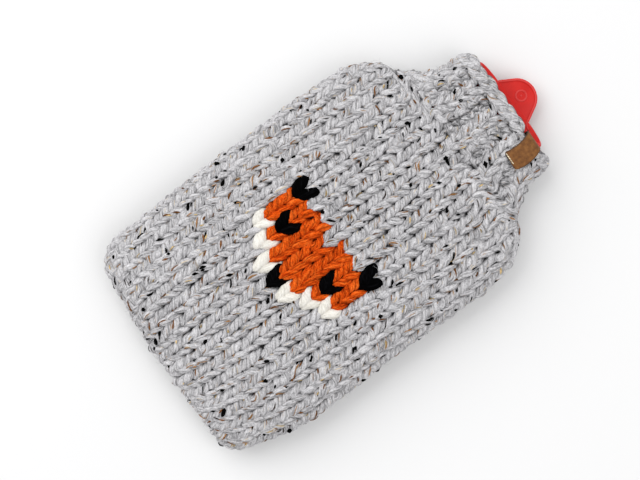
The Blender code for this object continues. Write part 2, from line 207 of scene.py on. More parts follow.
def onSurface(turn, reach, depth):
    # bilinear reading of the surface grid, up to its last row, then depth inwards along the normal
    rows, count = surface["points"].shape[:2]
    up = np.clip(reach / cover["reachStep"], 0, rows - 1.001)
    row = up.astype(int)
    up = (up - row)[:, None]
    side = (turn % 1.0) * count
    left = side.astype(int) % count
    side = (side - np.floor(side))[:, None]
    right = (left + 1) % count

    def read(field):
        low = field[row, left] * (1 - side) + field[row, right] * side
        high = field[row + 1, left] * (1 - side) + field[row + 1, right] * side
        return low * (1 - up) + high * up

    normal = read(surface["normals"])
    normal /= np.linalg.norm(normal, axis=1, keepdims=True)
    return read(surface["points"]) - normal * np.asarray(depth)[:, None], normal


def alongToReach(along):  # read past the bottom fold, where the way up doesn't move along
    rising = surface["along"] > 0.0005
    return np.interp(along, surface["along"][rising], surface["reach"][rising])


# rows and columns

knit = {
    "rows": 38,
    "foxRow": 13,              # the row of the nose
    "firstRow": 0.0055,        # reach of the lowest row's middle
    "tipShare": 0.9,           # a V's tip lies this share of a row below the stitch's middle
    # for rows counted up from the nose's: distance from the bottom fold to the tips of their Vs
    "tips": {0: 0.1043, 6: 0.1682, 20: 0.2813, 24: 0.3186},
    "collarRow": 33,           # the first ribbed row
    "centreHalf": 0.006,       # row heights differ this near to the front's middle line, and even
    "centreFade": 0.078,       # out from there to this distance
    "wideColumn": 0.0143,      # columns beside the middle line are wider than the outer ones
    "wideColumns": 3.5,
    "column": 0.01235,
    "bodyQuarter": 8.5,        # columns in a quarter of the way round
    "collarQuarter": 5.0,
    "evenRows": 6,             # rows below the collar over which its columns become alike
    "ribShift": -0.0027,       # the collar sits a little towards -X, and the rows lean there from
    "shiftFrom": 25,           # this row on
    "seamReach": 0.0012,       # no stitch reaches past the bottom seam
}


def rowKnots():  # the rows whose reach is known: the lowest, and those with a measured tip
    rows = [0] + [knit["foxRow"] + up - knit["tipShare"] for up in knit["tips"]]
    reaches = [knit["firstRow"]] + [float(alongToReach(tip)) for tip in knit["tips"].values()]
    return np.array(rows), np.array(reaches)


knotRows, knotReaches = rowKnots()


def rowReach(row, turn):
    # piecewise linear through the knots in the front's middle, one even pitch at the sides
    def through(rows, reaches):
        inside = np.interp(row, rows, reaches)
        below = reaches[0] + (row - rows[0]) * (reaches[1] - reaches[0]) / (rows[1] - rows[0])
        above = reaches[-1] + (row - rows[-1]) * (reaches[-1] - reaches[-2]) / (rows[-1] - rows[-2])
        return np.where(row < rows[0], below, np.where(row > rows[-1], above, inside))

    away = np.abs((turn + 0.5) % 1.0 - 0.5) * surface["around"].max()
    central = 1 - smoothStep(away, knit["centreHalf"], knit["centreFade"])
    even = [0, 3, 4]    # the sides skip the fox's two knots
    reach = through(knotRows, knotReaches) * central
    reach = reach + through(knotRows[even], knotReaches[even]) * (1 - central)
    return np.maximum(reach, knit["seamReach"])


def columnWidth(place):  # distance from the middle line to a column number, both positive
    wide = knit["wideColumns"]
    return np.where(place < wide, place * knit["wideColumn"],
                    wide * knit["wideColumn"] + (place - wide) * knit["column"])


def quarterColumns():
    # how many columns a quarter of each row holds: its length against the columns' widths
    quarters = []
    for row in range(-1, knit["rows"] + 2):
        reach = float(rowReach(np.array([float(row)]), np.array([0.25]))[0])
        length = np.interp(reach, surface["reach"], surface["around"]) / 4
        outer = (length - float(columnWidth(knit["wideColumns"]))) / knit["column"]
        held = round(2 * (knit["wideColumns"] + outer)) / 2
        held = min(max(held, knit["collarQuarter"]), knit["bodyQuarter"])
        quarters.append(knit["bodyQuarter"] if row < knit["foxRow"] else
                        knit["collarQuarter"] if row >= knit["collarRow"] else held)
    return np.array(quarters)


quarters = quarterColumns()


def columnTurn(place, ownQuarter, row):
    # place counts columns round the ring from the front's middle; the front and the back keep
    # their columns straight, and those past a row's quarter end at the side. The turn is a quarter
    # times the share of the quarter's width, mixed over to the share of its columns in the collar
    behind = place > ownQuarter
    fromMiddle = np.where(behind, 2 * ownQuarter - place, place)

    def inRow(number):
        quarter = quarters[np.clip(number + 1, 0, len(quarters) - 1)]
        share = columnWidth(np.minimum(np.abs(fromMiddle), quarter)) / columnWidth(quarter)
        evenShare = np.minimum(np.abs(fromMiddle), quarter) / quarter
        even = smoothStep(number, knit["collarRow"] - knit["evenRows"], knit["collarRow"])
        return (share * (1 - even) + evenShare * even) * 0.25 * np.sign(fromMiddle)

    below = np.floor(row).astype(int)
    part = row - below
    turn = inRow(below) * (1 - part) + inRow(below + 1) * part
    turn = np.where(behind, 0.5 - turn, turn)
    length = np.interp(rowReach(row, np.full(row.shape, 0.25)), surface["reach"], surface["around"])
    return turn + knit["ribShift"] / length * smoothStep(row, knit["shiftFrom"], knit["collarRow"])


print("rows:", knit["rows"], "columns round each:", [int(4 * q) for q in quarters[1:-2]])


# the fox in the knitting

fox = {
    # for each distance from the middle column, the colours of its stitches from the nose's row up
    0: ["black", "orange", "orange", "orange", "orange", None, None],
    1: ["white", "orange", "orange", "orange", "orange", "orange", None],
    2: [None, "white", "orange", "black", "orange", "orange", None],
    3: [None, None, "white", "orange", "orange", "orange", "black"],
}
foxTall = {6: 0.50, 3: 0.12}   # black stitches whose legs reach further up, in rows: ears, eyes


# yarn

yarn = {
    "radius": 0.00370,
    "leftFat": 1.07,           # the left leg against the right
    "rightFat": 0.96,
    "flatten": 0.92,           # thickness against width
    "plies": 3,
    "grooveDepth": 0.27,
    "pointsPerPly": 4,
    "samples": 24,             # points along one stitch
    "leftSamples": 2.4,        # how they crowd into the left leg, with its many grooves, and the right
    "rightSamples": 1.1,
    "headSamples": 0.50,
    "height": 0.98,            # half the height of a loop, in rows
    "leftSway": 0.212,         # sideways swing of the loop, in columns
    "rightSway": 0.242,
    "footAhead": 0.0026,       # a leg's lower end lies ahead of the leg it comes out over
    "leftWider": 0.065,        # the left leg is the wider one
    "legDepth": 0.0032,
    "headDepth": 0.0065,
    "leftPinch": (0.50, 0.30),     # the yarn thins where it turns behind, at a foot and at a head
    "rightPinch": (0.62, 0.42),
    "purlSwell": 0.42,         # and a purl's bump swells
    "purlFlat": 0.55,          # exponent that flattens the bump's arch: 1 is round, less is flatter
    "purlSink": 0.0012,        # and lies this much deeper, with most of the twist in it
    "purlTwist": 0.80,
    "purlShade": 0.0014,       # its crevices are shaded as if this much less deep
    "plySteps": 5,             # times that the next ply comes to the front in a stitch
    "leftTwist": 0.85,         # most of the twist sits in the left leg
    "ribLift": 0.0004,         # knit ribs stand out by this and purl ribs sink in
    "tallReach": 2.6,          # a tall stitch's upper ends: rise for each row of extra height,
    "tallAhead": 0.0044,       # lift of them for the same,
    "tallLift": 0.0016,        # and of the whole stitch
    "unevenAcross": 0.038,     # random spread of the stitches, in columns
    "unevenUp": 0.070,         # in rows
    "unevenDepth": 0.00050,
    "unevenRadius": 0.08,
    "unevenPly": 0.55,         # in radians
    "unevenTone": 0.20,
    # painted shade: between the next two depths the yarn's colour darkens towards its crevice colour
    "shadeFrom": 0.0020,       # depths between which a crevice darkens
    "shadeTo": 0.0041,
    "innerLight": 0.85,        # the side of the yarn that faces inwards is this much less shaded,
    "innerFrom": 0.1,          # between these shares of the radius
    "innerTo": 0.6,
    "lastHeight": 0.72,        # the last row's heads end here, in rows, under the bound-off edge
    "patternStep": (1.37, 0.61),   # each row's fibres start elsewhere in the pattern
}
# against the grey yarn: how fat the coloured legs are, how high they lie, how deep the grooves
# between plies are, how much more a leg leans, and the share by which it thins downwards
colourYarn = {
    None: {"fat": 1.0, "lift": 0.0, "groove": 1.0, "sway": 0.0, "taper": 0.0},
    "orange": {"fat": 1.02, "lift": 0.0004, "groove": 1.10, "sway": 0.0, "taper": 0.0},
    "white": {"fat": 1.20, "lift": 0.0006, "groove": 0.35, "sway": 0.025, "taper": 0.10},
    "black": {"fat": 1.28, "lift": 0.0010, "groove": 0.30, "sway": 0.045, "taper": 0.19},
}


def plyProfile():
    # within each ply the radius is 1 - g |angle / half ply|^3, deepest in the groove between two
    points = yarn["pointsPerPly"]
    within = np.abs(np.arange(points) / points * 2 - 1)
    within = np.where(np.arange(points) == 0, 1.0, within)
    return np.tile(1 - yarn["grooveDepth"] * within ** 3, yarn["plies"])


def wavering(count, samples, amount):
    # a random value at every foot, leg and head, joined by cosine steps, closed round the ring
    marks = dice.normal(0, amount, count * 4)
    place = np.arange(count * samples) / samples * 4
    low = place.astype(int)
    part = (1 - np.cos((place - low) * math.pi)) / 2
    return marks[low % (count * 4)] * (1 - part) + marks[(low + 1) % (count * 4)] * part


def isPurl(place, row):  # every second column of the collar
    return (np.abs(place) % 2 == 1) & (row >= knit["collarRow"])


def stitchAngles():
    # the angles of one stitch's points, crowded where the density
    # head + left sin^1.5 t + right (-sin t)^1.5 is high
    fine = np.linspace(0, 2 * math.pi, 721)
    wave = np.sin(fine)
    density = (yarn["headSamples"] + yarn["leftSamples"] * np.maximum(wave, 0) ** 1.5
               + yarn["rightSamples"] * np.maximum(-wave, 0) ** 1.5)
    summed = np.concatenate([[0], np.cumsum((density[1:] + density[:-1]) / 2)])
    return np.interp(np.arange(yarn["samples"]) / yarn["samples"] * summed[-1], summed, fine)


def stitchColour(place, row):  # None is the grey tweed
    up = row - knit["foxRow"]
    if abs(place) in fox and 0 <= up < len(fox[0]):
        return fox[abs(place)][up]
    return None


def loopPath(row, t, purl, tall, sway):
    # over a stitch the angle t goes from 0 at its foot to 2 pi: across = t / 2 pi + sway sin 2t,
    # up = -height cos t, depth = leg sin^2 t + head cos^2 t - ahead cos t sin^2 t. A tall stitch's
    # upper ends rise by (-cos t) sin^2 t more. A purl stitch turns the depths round, and the arch
    # of its head is flattened
    across = t / (2 * math.pi) + sway * np.sin(2 * t) + yarn["leftWider"] * np.sin(t / 2) ** 2
    bend = np.where(purl & (np.cos(t) < 0), yarn["purlFlat"], 1.0)
    up = -yarn["height"] * np.sign(np.cos(t)) * np.abs(np.cos(t)) ** bend
    taller = tall * yarn["tallReach"] * np.maximum(-np.cos(t), 0) * np.sin(t) ** 2
    up = up + taller
    if row == knit["rows"] - 1:
        up = np.minimum(up, yarn["lastHeight"])

    neighbour = np.where(t < math.pi, np.roll(purl, yarn["samples"]), np.roll(purl, -yarn["samples"]))
    legDepth = np.where(purl, yarn["headDepth"], yarn["legDepth"])
    headDepth = np.where(purl, yarn["legDepth"] + yarn["purlSink"], yarn["headDepth"])
    footDepth = np.where(purl == neighbour, headDepth, (yarn["headDepth"] + yarn["legDepth"]) / 2)
    endDepth = np.where(np.cos(t) > 0, footDepth, headDepth)
    depth = legDepth * np.sin(t) ** 2 + endDepth * np.cos(t) ** 2
    depth = depth - np.where(purl, -1.0, 1.0) * yarn["footAhead"] * np.cos(t) * np.sin(t) ** 2
    depth = depth - yarn["tallAhead"] * taller - yarn["tallLift"] * tall * np.sin(t) ** 2
    if row >= knit["collarRow"]:
        lift = np.where(purl, yarn["ribLift"], -yarn["ribLift"])
        depth = depth + lift * np.where(np.cos(t) > 0, np.sin(t) ** 2, 1.0)
    return across, up, depth


def knitRow(row):
    # one row is one closed strand: its loops, each a little uneven, laid on the cover's surface.
    # The radius is thinned by pinch cos^2 t and swells by sin^4 t/2 in a purl's bump, and the plies
    # wind evenly with t, plus a twist of 1 - cos t, or of -sin t in a purl
    samples = yarn["samples"]
    quarter = quarters[row + 1]
    count = int(4 * quarter)
    places = -math.floor(quarter) + np.arange(count)
    colours = [stitchColour(number, row) for number in places]

    def perColour(field):
        return np.repeat([colourYarn[colour][field] for colour in colours], samples)

    t = np.tile(stitchAngles(), count)
    leftLeg = t < math.pi
    nearFoot = np.cos(t) > 0
    place = np.repeat(places, samples).astype(float)
    purl = isPurl(place, row)
    tallHere = foxTall.get(row - knit["foxRow"], 0.0)
    tall = np.repeat([tallHere if colour == "black" else 0.0 for colour in colours], samples)
    sway = np.where(leftLeg, yarn["leftSway"], yarn["rightSway"]) + perColour("sway")
    across, up, depth = loopPath(row, t, purl, tall, sway)

    depth = depth - perColour("lift") * np.sin(t) ** 2 + wavering(count, samples, yarn["unevenDepth"])
    place = place - 0.5 + across + wavering(count, samples, yarn["unevenAcross"])
    rowPlace = row + up + wavering(count, samples, yarn["unevenUp"])
    turn = columnTurn(place, quarter, rowPlace)
    centres, outward = onSurface(turn, rowReach(rowPlace, turn), depth)

    fat = perColour("fat") * np.where(leftLeg, yarn["leftFat"], yarn["rightFat"])
    fat = (1 + (fat - 1) * np.sin(t) ** 2) * (1 - perColour("taper") * np.cos(t))
    pinch = np.where(leftLeg, np.where(nearFoot, *yarn["leftPinch"]),
                     np.where(nearFoot, *yarn["rightPinch"]))
    swell = 0.0 if row == knit["rows"] - 1 else yarn["purlSwell"]
    thin = np.where(purl, 1 + swell * np.sin(t / 2) ** 4, 1 - pinch * np.cos(t) ** 2)
    radius = yarn["radius"] * thin * fat * (1 + wavering(count, samples, yarn["unevenRadius"]))

    plyStep = 2 * math.pi / yarn["plies"]
    perRadian = yarn["plySteps"] * plyStep / (2 * math.pi)
    wound = np.repeat(np.arange(count), samples) * yarn["plySteps"] * plyStep
    twist = np.where(purl, -yarn["purlTwist"] * np.sin(t), yarn["leftTwist"] * (1 - np.cos(t)))
    phase = -(wound + perRadian * (t + twist))
    phase += wavering(count, samples, yarn["unevenPly"])
    tone = 0.5 + wavering(count, samples, yarn["unevenTone"])
    grey = np.repeat([colour is None for colour in colours], samples)
    return {"centres": centres, "outward": outward, "radius": radius, "phase": phase, "depth": depth,
            "places": places, "colours": colours, "row": row, "tone": tone, "grey": grey,
            "shadeDepth": depth - np.where(purl, yarn["purlShade"], 0.0),
            "groove": perColour("groove")}


def strandFrame(strand):
    # tangent by central differences round the closed strand, side = tangent x outward, front is
    # square to both; travel is the distance along the strand
    centres = strand["centres"]
    tangent = np.roll(centres, -1, 0) - np.roll(centres, 1, 0)
    tangent /= np.linalg.norm(tangent, axis=1, keepdims=True)
    side = np.cross(tangent, strand["outward"])
    side /= np.linalg.norm(side, axis=1, keepdims=True)
    strand["side"] = side
    strand["front"] = np.cross(side, tangent)
    ahead = np.roll(centres, -1, 0) - centres
    strand["travel"] = np.concatenate([[0.0], np.cumsum(np.linalg.norm(ahead, axis=1))])
    return strand


def strandSkin(strand):
    # ring points = centre + radius (1 - groove (1 - profile)) (cos a front + sin a side), a turning
    # with the plies; a point's painted shade grows with its depth below the cover's surface, and is
    # less on the side facing in
    count = len(profile)
    angle = strand["phase"][:, None] + np.arange(count) / count * 2 * math.pi
    reach = strand["radius"][:, None] * (1 - strand["groove"][:, None] * (1 - profile))
    out = (np.cos(angle) * reach * yarn["flatten"])[..., None] * strand["front"][:, None]
    side = (np.sin(angle) * reach)[..., None] * strand["side"][:, None]
    away = out + side
    rise = (away * strand["outward"][:, None]).sum(2)
    shade = smoothStep(strand["shadeDepth"][:, None] - rise, yarn["shadeFrom"], yarn["shadeTo"])
    facingIn = smoothStep(-rise / yarn["radius"], yarn["innerFrom"], yarn["innerTo"])
    shade = shade * (1 - yarn["innerLight"] * facingIn)
    return (strand["centres"][:, None] + away).reshape(-1, 3), shade.ravel()


def shadeTint(shade, tone=0.5):
    # red holds the crevice's painted shade and green how light the wool is
    return np.stack([shade, np.broadcast_to(tone, shade.shape), 0 * shade, 1 + 0 * shade], 1)


def gridQuads(rows, columns, rowsClosed=False, columnsClosed=True):
    # the faces of a grid of points: (r, c), (r, c + 1), (r + 1, c + 1), (r + 1, c)
    row = np.arange(rows if rowsClosed else rows - 1)[:, None]
    column = np.arange(columns if columnsClosed else columns - 1)[None, :]
    nextRow, nextColumn = (row + 1) % rows, (column + 1) % columns
    return np.stack([row * columns + column, row * columns + nextColumn,
                     nextRow * columns + nextColumn, nextRow * columns + column], -1).reshape(-1, 4)


def turnedOver(quads):  # the same faces, seen from the other side
    return quads[:, [0, 3, 2, 1]]


def closeEnds(points, quads, around):
    # a middle point for the first and for the last ring: each face joins it to three corners
    corner = np.arange(0, around, 2)
    corners = np.stack([corner, (corner + 1) % around, (corner + 2) % around], 1)
    middle = np.full((len(corner), 1), len(points))
    head = np.concatenate([middle, corners[:, ::-1]], 1)
    tail = np.concatenate([middle + 1, corners + len(points) - around], 1)
    middles = np.stack([points[:around].mean(0), points[-around:].mean(0)])
    return np.concatenate([points, middles]), np.concatenate([quads, head, tail])


class Pile:
    # points, four-cornered faces, UVs and tints, gathered from many strands for one mesh

    def __init__(self):
        self.points, self.quads, self.uvs, self.tints, self.count = [], [], [], [], 0

    def add(self, points, quads, uvs, tint):
        self.points.append(points)
        self.quads.append(quads + self.count)
        self.uvs.append(uvs)
        self.tints.append(tint)
        self.count += len(points)

    def tube(self, points, tint, around, travel, offset, closed):
        # rings of points one after the other; UV x is the distance along, y the distance round
        rings = len(points) // around
        last = rings if closed else rings - 1
        quads = gridQuads(rings, around, closed)
        start = np.broadcast_to(travel[:last][:, None], (last, around))
        end = np.broadcast_to(travel[1:last + 1][:, None], (last, around))
        low = np.broadcast_to(np.arange(around) / around * girth, (last, around))
        high = low + girth / around
        uvs = np.stack([np.stack([start, low], -1), np.stack([start, high], -1),
                        np.stack([end, high], -1), np.stack([end, low], -1)], 2).reshape(-1, 4, 2)
        uvs = uvs + np.array(offset)
        if not closed:
            points, quads = closeEnds(points, quads, around)
            tint = np.concatenate([tint, tint[:1], tint[-1:]])
            uvs = np.concatenate([uvs, np.broadcast_to(offset, (len(quads) - len(uvs), 4, 2))])
        self.add(points, quads, uvs, tint)


def meshObject(name, points, quads, uvs=None, material=None, tints=None):
    mesh = bpy.data.meshes.new(name)
    mesh.vertices.add(len(points))
    mesh.vertices.foreach_set("co", np.asarray(points, np.float32).ravel())
    mesh.loops.add(quads.size)
    mesh.loops.foreach_set("vertex_index", quads.astype(np.int32).ravel())
    mesh.polygons.add(len(quads))
    mesh.polygons.foreach_set("loop_start", np.arange(0, quads.size, 4, dtype=np.int32))
    mesh.update(calc_edges=True)
    mesh.polygons.foreach_set("use_smooth", np.ones(len(quads), bool))
    if uvs is not None:
        layer = mesh.uv_layers.new(name="yarnUV")
        layer.data.foreach_set("uv", np.asarray(uvs, np.float32).ravel())
    if tints is not None:
        layer = mesh.color_attributes.new("tint", "FLOAT_COLOR", "POINT")
        layer.data.foreach_set("color", np.asarray(tints, np.float32).ravel())
    mesh.validate()
    made = bpy.data.objects.new(name, mesh)
    bpy.context.scene.collection.objects.link(made)
    if material is not None:
        mesh.materials.append(material)
    return made


def pileObject(name, pile, material):
    return meshObject(name, np.concatenate(pile.points), np.concatenate(pile.quads),
                      np.concatenate(pile.uvs), material, np.concatenate(pile.tints))


# materials

class Finish:
    # a material, with short ways to add nodes to it and to join them

    def __init__(self, name, roughness, specular=0.5):
        self.material = bpy.data.materials.new(name)
        self.material.use_nodes = True
        self.nodes = self.material.node_tree.nodes
        self.shader = self.nodes["Principled BSDF"]
        self.put(self.shader, "Roughness", roughness)
        self.put(self.shader, "Specular IOR Level", specular)

    def put(self, node, name, value):  # another node's output is joined, a number or colour is set
        socket = node.inputs[name]
        if hasattr(value, "is_output"):
            self.material.node_tree.links.new(value, socket)
        else:
            socket.default_value = (*value, 1.0) if socket.type == "RGBA" else value

    def add(self, kind, output, inputs, **settings):
        node = self.nodes.new("ShaderNode" + kind)
        for name, value in settings.items():
            setattr(node, name, value)
        for name, value in inputs.items():
            self.put(node, name, value)
        return node.outputs[output]

    def math(self, operation, *values):
        return self.add("Math", 0, dict(enumerate(values)), operation=operation)

    def mix(self, share, first, second, blend="MIX"):
        return self.add("Mix", 2, {0: share, 6: first, 7: second}, data_type="RGBA", blend_type=blend)

    def tint(self, output="Color"):
        return self.add("Attribute", output, {}, attribute_name="tint")

    def noise(self, scale, detail=2.0):
        place = self.add("TexCoord", "Object", {})
        return self.add("TexNoise", "Fac", {"Vector": place, "Scale": scale, "Detail": detail})

    def ramp(self, share, stops):
        node = self.nodes.new("ShaderNodeValToRGB")
        elements = node.color_ramp.elements
        while len(elements) < len(stops):
            elements.new(0.5)
        for element, (position, colour) in zip(elements, stops):
            element.position = position
            element.color = (*colour, 1.0)
        self.put(node, "Fac", share)
        return node.outputs["Color"]

    def bump(self, height, strength, distance):
        inputs = {"Strength": strength, "Distance": distance, "Height": height}
        self.put(self.shader, "Normal", self.add("Bump", "Normal", inputs))


girth = 2 * math.pi * yarn["radius"]
wool = {
    # fineness of the fibres along and round the yarn, and their detail
    "tufts": (330.0, 620.0, 2.0),
    "streaks": (150.0, 950.0, 3.0),
    "hairs": (230.0, 1900.0, 3.0),
    "tuftShare": 0.45,         # of the tufts in the colour, against the streaks
    "tuftHeight": 1.3,         # of the tufts in the relief, against the hairs
    "grooveHeight": -0.7,
    "grooveSharpness": 6.0,
    "toneRange": 0.14,         # how far the yarn's own tone moves its colour
    "mottleScale": 700.0,
    "mottleRange": (0.36, 0.52),   # levels of its noise where it is darkest and where it ends
    "roughness": 0.92,
    "sheenRoughness": 0.55,
    # brown specks: colour, fineness along and round the yarn, and the level of noise they start at
    "tweedSpecks": [((0.36, 0.21, 0.10), 90.0, 420.0, 0.66), ((0.70, 0.55, 0.32), 80.0, 460.0, 0.67)],
    "speckDetail": 2.0,
    "speckEdge": 0.05,         # over this much more noise they reach their share of the colour
    "speckShare": 0.8,
}
yarnLooks = {
    # shades are colours at levels of the fibres' noise; crevice is the colour of the painted shade that
    # grooves and crevices take by their two shades; mottle is the darkest share of the mottling
    "tweed": {
        "shades": [(0.38, (0.32, 0.315, 0.325)), (0.47, (0.60, 0.59, 0.605)),
                   (0.60, (0.74, 0.73, 0.745))],
        "crevice": (0.012, 0.011, 0.013), "specks": wool["tweedSpecks"], "gloss": 0.12, "sheen": 0.06,
        "fibreHeight": 0.0010, "grooveShade": 0.42, "creviceShade": 0.97, "mottle": 0.74},
    "orange": {
        "shades": [(0.38, (0.42, 0.030, 0.001)), (0.48, (0.76, 0.088, 0.004)),
                   (0.60, (0.93, 0.17, 0.020))],
        "crevice": (0.06, 0.003, 0.0), "specks": [], "gloss": 0.06, "sheen": 0.0,
        "fibreHeight": 0.0010, "grooveShade": 0.55, "creviceShade": 0.93, "mottle": 0.70},
    "black": {
        "shades": [(0.36, (0.0005, 0.0005, 0.0006)), (0.50, (0.0012, 0.0011, 0.0013)),
                   (0.63, (0.004, 0.004, 0.005))],
        "crevice": (0.0003, 0.0003, 0.0003), "specks": [], "gloss": 0.01, "sheen": 0.0,
        "fibreHeight": 0.0005, "grooveShade": 0.3, "creviceShade": 0.9, "mottle": 0.8},
    "white": {
        "shades": [(0.38, (0.70, 0.67, 0.60)), (0.50, (0.81, 0.785, 0.72)),
                   (0.62, (0.86, 0.84, 0.79))],
        "crevice": (0.36, 0.33, 0.29), "specks": [], "gloss": 0.05, "sheen": 0.0,
        "fibreHeight": 0.0005, "grooveShade": 0.10, "creviceShade": 0.50, "mottle": 0.90},
}


def yarnMaterial(name, look):
    # fibres run along the yarn; the crevices' painted shade and the tone follow the mesh, and a groove
    # between two plies is |2 fract(plies y / girth) - 1|^sharpness, used for painted shade and relief
    finish = Finish(name, wool["roughness"], look["gloss"])
    finish.put(finish.shader, "Sheen Weight", look["sheen"])
    finish.put(finish.shader, "Sheen Roughness", wool["sheenRoughness"])
    uv = finish.add("UVMap", "UV", {}, uv_map="yarnUV")

    def fibres(along, across, detail):
        stretched = finish.add("Mapping", "Vector", {"Vector": uv, "Scale": (along, across, 1.0)})
        return finish.add("TexNoise", "Fac", {"Vector": stretched, "Scale": 1.0, "Detail": detail})

    crevice = finish.add("SeparateColor", "Red", {0: finish.tint()})
    lightness = finish.add("SeparateColor", "Green", {0: finish.tint()})
    tone = finish.math("MULTIPLY_ADD", lightness, wool["toneRange"], -wool["toneRange"] / 2)
    tufts = fibres(*wool["tufts"])
    streaks = finish.math("MULTIPLY", fibres(*wool["streaks"]), 1 - wool["tuftShare"])
    mixed = finish.math("MULTIPLY_ADD", tufts, wool["tuftShare"], streaks)
    shade = finish.ramp(finish.math("ADD", mixed, tone), look["shades"])
    darkest, plain = wool["mottleRange"]
    mottleStops = [(darkest, (look["mottle"],) * 3), (plain, (1.0, 1.0, 1.0))]
    mottle = finish.ramp(finish.noise(wool["mottleScale"]), mottleStops)
    colour = finish.mix(1.0, shade, mottle, "MULTIPLY")
    for speckColour, along, across, threshold in look["specks"]:
        stops = [(threshold, (0, 0, 0)), (threshold + wool["speckEdge"], (wool["speckShare"],) * 3)]
        specks = finish.ramp(fibres(along, across, wool["speckDetail"]), stops)
        colour = finish.mix(specks, colour, speckColour)

    plyShare = finish.math("MULTIPLY", finish.add("SeparateXYZ", "Y", {0: uv}), yarn["plies"] / girth)
    folded = finish.math("MULTIPLY_ADD", finish.math("FRACT", plyShare), 2.0, -1.0)
    groove = finish.math("POWER", finish.math("ABSOLUTE", folded), wool["grooveSharpness"])
    # painted shade: the grooves between plies and the crevices darken towards the crevice colour
    colour = finish.mix(finish.math("MULTIPLY", groove, look["grooveShade"]), colour, look["crevice"])
    colour = finish.mix(finish.math("MULTIPLY", crevice, look["creviceShade"]), colour, look["crevice"])
    finish.put(finish.shader, "Base Color", colour)

    tall = finish.math("MULTIPLY_ADD", tufts, wool["tuftHeight"], fibres(*wool["hairs"]))
    tall = finish.math("MULTIPLY_ADD", groove, wool["grooveHeight"], tall)
    finish.bump(tall, 1.0, look["fibreHeight"])
    return finish.material


looseFibre = {
    "specular": 0.04,
    "grain": 900.0,
    "shades": [(0.3, (0.5, 0.5, 0.5)), (0.7, (1.25, 1.25, 1.25))],     # shares of its own tint
    "relief": (0.5, 0.0004),   # strength and height
}
redRubber = {
    "tones": [(0.30, (0.54, 0.010, 0.007)), (0.55, (0.60, 0.014, 0.010)), (0.80, (0.66, 0.022, 0.016))],
    # painted highlight: the border, the ring and the dot are made this much paler
    "paintedHighlightGain": 0.035,       # raised parts are this much paler
    "patches": (90.0, 4.0),    # fineness and detail
    "roughness": (0.38, 0.60),     # least and most, in the dusty patches
    "specular": 0.25,
    "skin": 1400.0,
    "relief": (0.12, 0.0003),
}
leather = {
    "tones": [(0.30, (0.115, 0.040, 0.007)), (0.52, (0.180, 0.068, 0.013)),
              (0.75, (0.250, 0.105, 0.024))],
    "wornAndShadedTone": (0.03, 0.02, 0.015),
    "mottle": (320.0, 5.0),
    "pebbles": 1500.0,
    "mottleHeight": 0.8,       # in the relief, against the pebbles
    "relief": (0.35, 0.0003),
    "roughness": 0.62,
    "specular": 0.30,
    "cutTones": [(0.3, (0.006, 0.005, 0.004)), (0.7, (0.03, 0.018, 0.010))],
    "cutGrain": 700.0,
    "cutRoughness": 0.55,
}


def fleckMaterial(name, roughness):  # the mesh's own tint, mottled
    finish = Finish(name, roughness, looseFibre["specular"])
    grain = finish.noise(looseFibre["grain"])
    shade = finish.ramp(grain, looseFibre["shades"])
    finish.put(finish.shader, "Base Color", finish.mix(1.0, finish.tint(), shade, "MULTIPLY"))
    finish.bump(grain, *looseFibre["relief"])
    return finish.material


def rubberMaterial(name, highlightGain):
    # satin red rubber with a faint orange-peel skin and dusty dull patches, paler by a painted
    # highlight where raised
    least, most = redRubber["roughness"]
    finish = Finish(name, most, redRubber["specular"])
    patches = finish.noise(*redRubber["patches"])
    paler = [(stop, tuple(part + highlightGain for part in tone)) for stop, tone in redRubber["tones"]]
    finish.put(finish.shader, "Base Color", finish.ramp(patches, paler))
    dull = finish.add("MapRange", "Result", {"Value": patches, "To Min": least, "To Max": most})
    finish.put(finish.shader, "Roughness", dull)
    finish.bump(finish.noise(redRubber["skin"]), *redRubber["relief"])
    return finish.material


def cutEdgeMaterial():  # the leather's cut edge, rubbed nearly black
    finish = Finish("burnished_edge", leather["cutRoughness"])
    shade = finish.ramp(finish.noise(leather["cutGrain"]), leather["cutTones"])
    finish.put(finish.shader, "Base Color", shade)
    return finish.material


def leatherMaterial():  # mottled tan with a pebbled grain, darkened where the mesh's tint is high
    finish = Finish("tan_leather", leather["roughness"], leather["specular"])
    mottle = finish.noise(*leather["mottle"])
    shade = finish.ramp(mottle, leather["tones"])
    # darker towards the edges, by the tint: worn edge and painted shade
    finish.put(finish.shader, "Base Color", finish.mix(finish.tint("Fac"), shade, leather["wornAndShadedTone"]))
    place = finish.add("TexCoord", "Object", {})
    pebbles = finish.add("TexVoronoi", "Distance", {"Vector": place, "Scale": leather["pebbles"]})
    relief = finish.math("MULTIPLY_ADD", mottle, leather["mottleHeight"], pebbles)
    finish.bump(relief, *leather["relief"])
    return finish.material


yarnMaterials = {name: yarnMaterial(name + "_yarn", look) for name, look in yarnLooks.items()}


# knitting

profile = plyProfile()
strands = [strandFrame(knitRow(row)) for row in range(knit["rows"])]
groups = {"knit_bottom_rows": range(0, 9), "knit_lower_rows": range(9, 18),
          "knit_upper_rows": range(18, 27), "knit_shoulder_and_collar": range(27, knit["rows"])}
foxPiles = {"orange": Pile(), "black": Pile(), "white": Pile()}
knitPieces = []


def colourRuns(strand):
    # neighbouring stitches of one colour make one run: (colour, first stitch, past the last)
    colours = strand["colours"]
    changes = [i for i in range(len(colours)) if colours[i] != colours[i - 1]]
    if not changes:
        return [(None, 0, len(colours))]
    return [(colours[start], start, end if end > start else end + len(colours))
            for start, end in zip(changes, changes[1:] + changes[:1])]


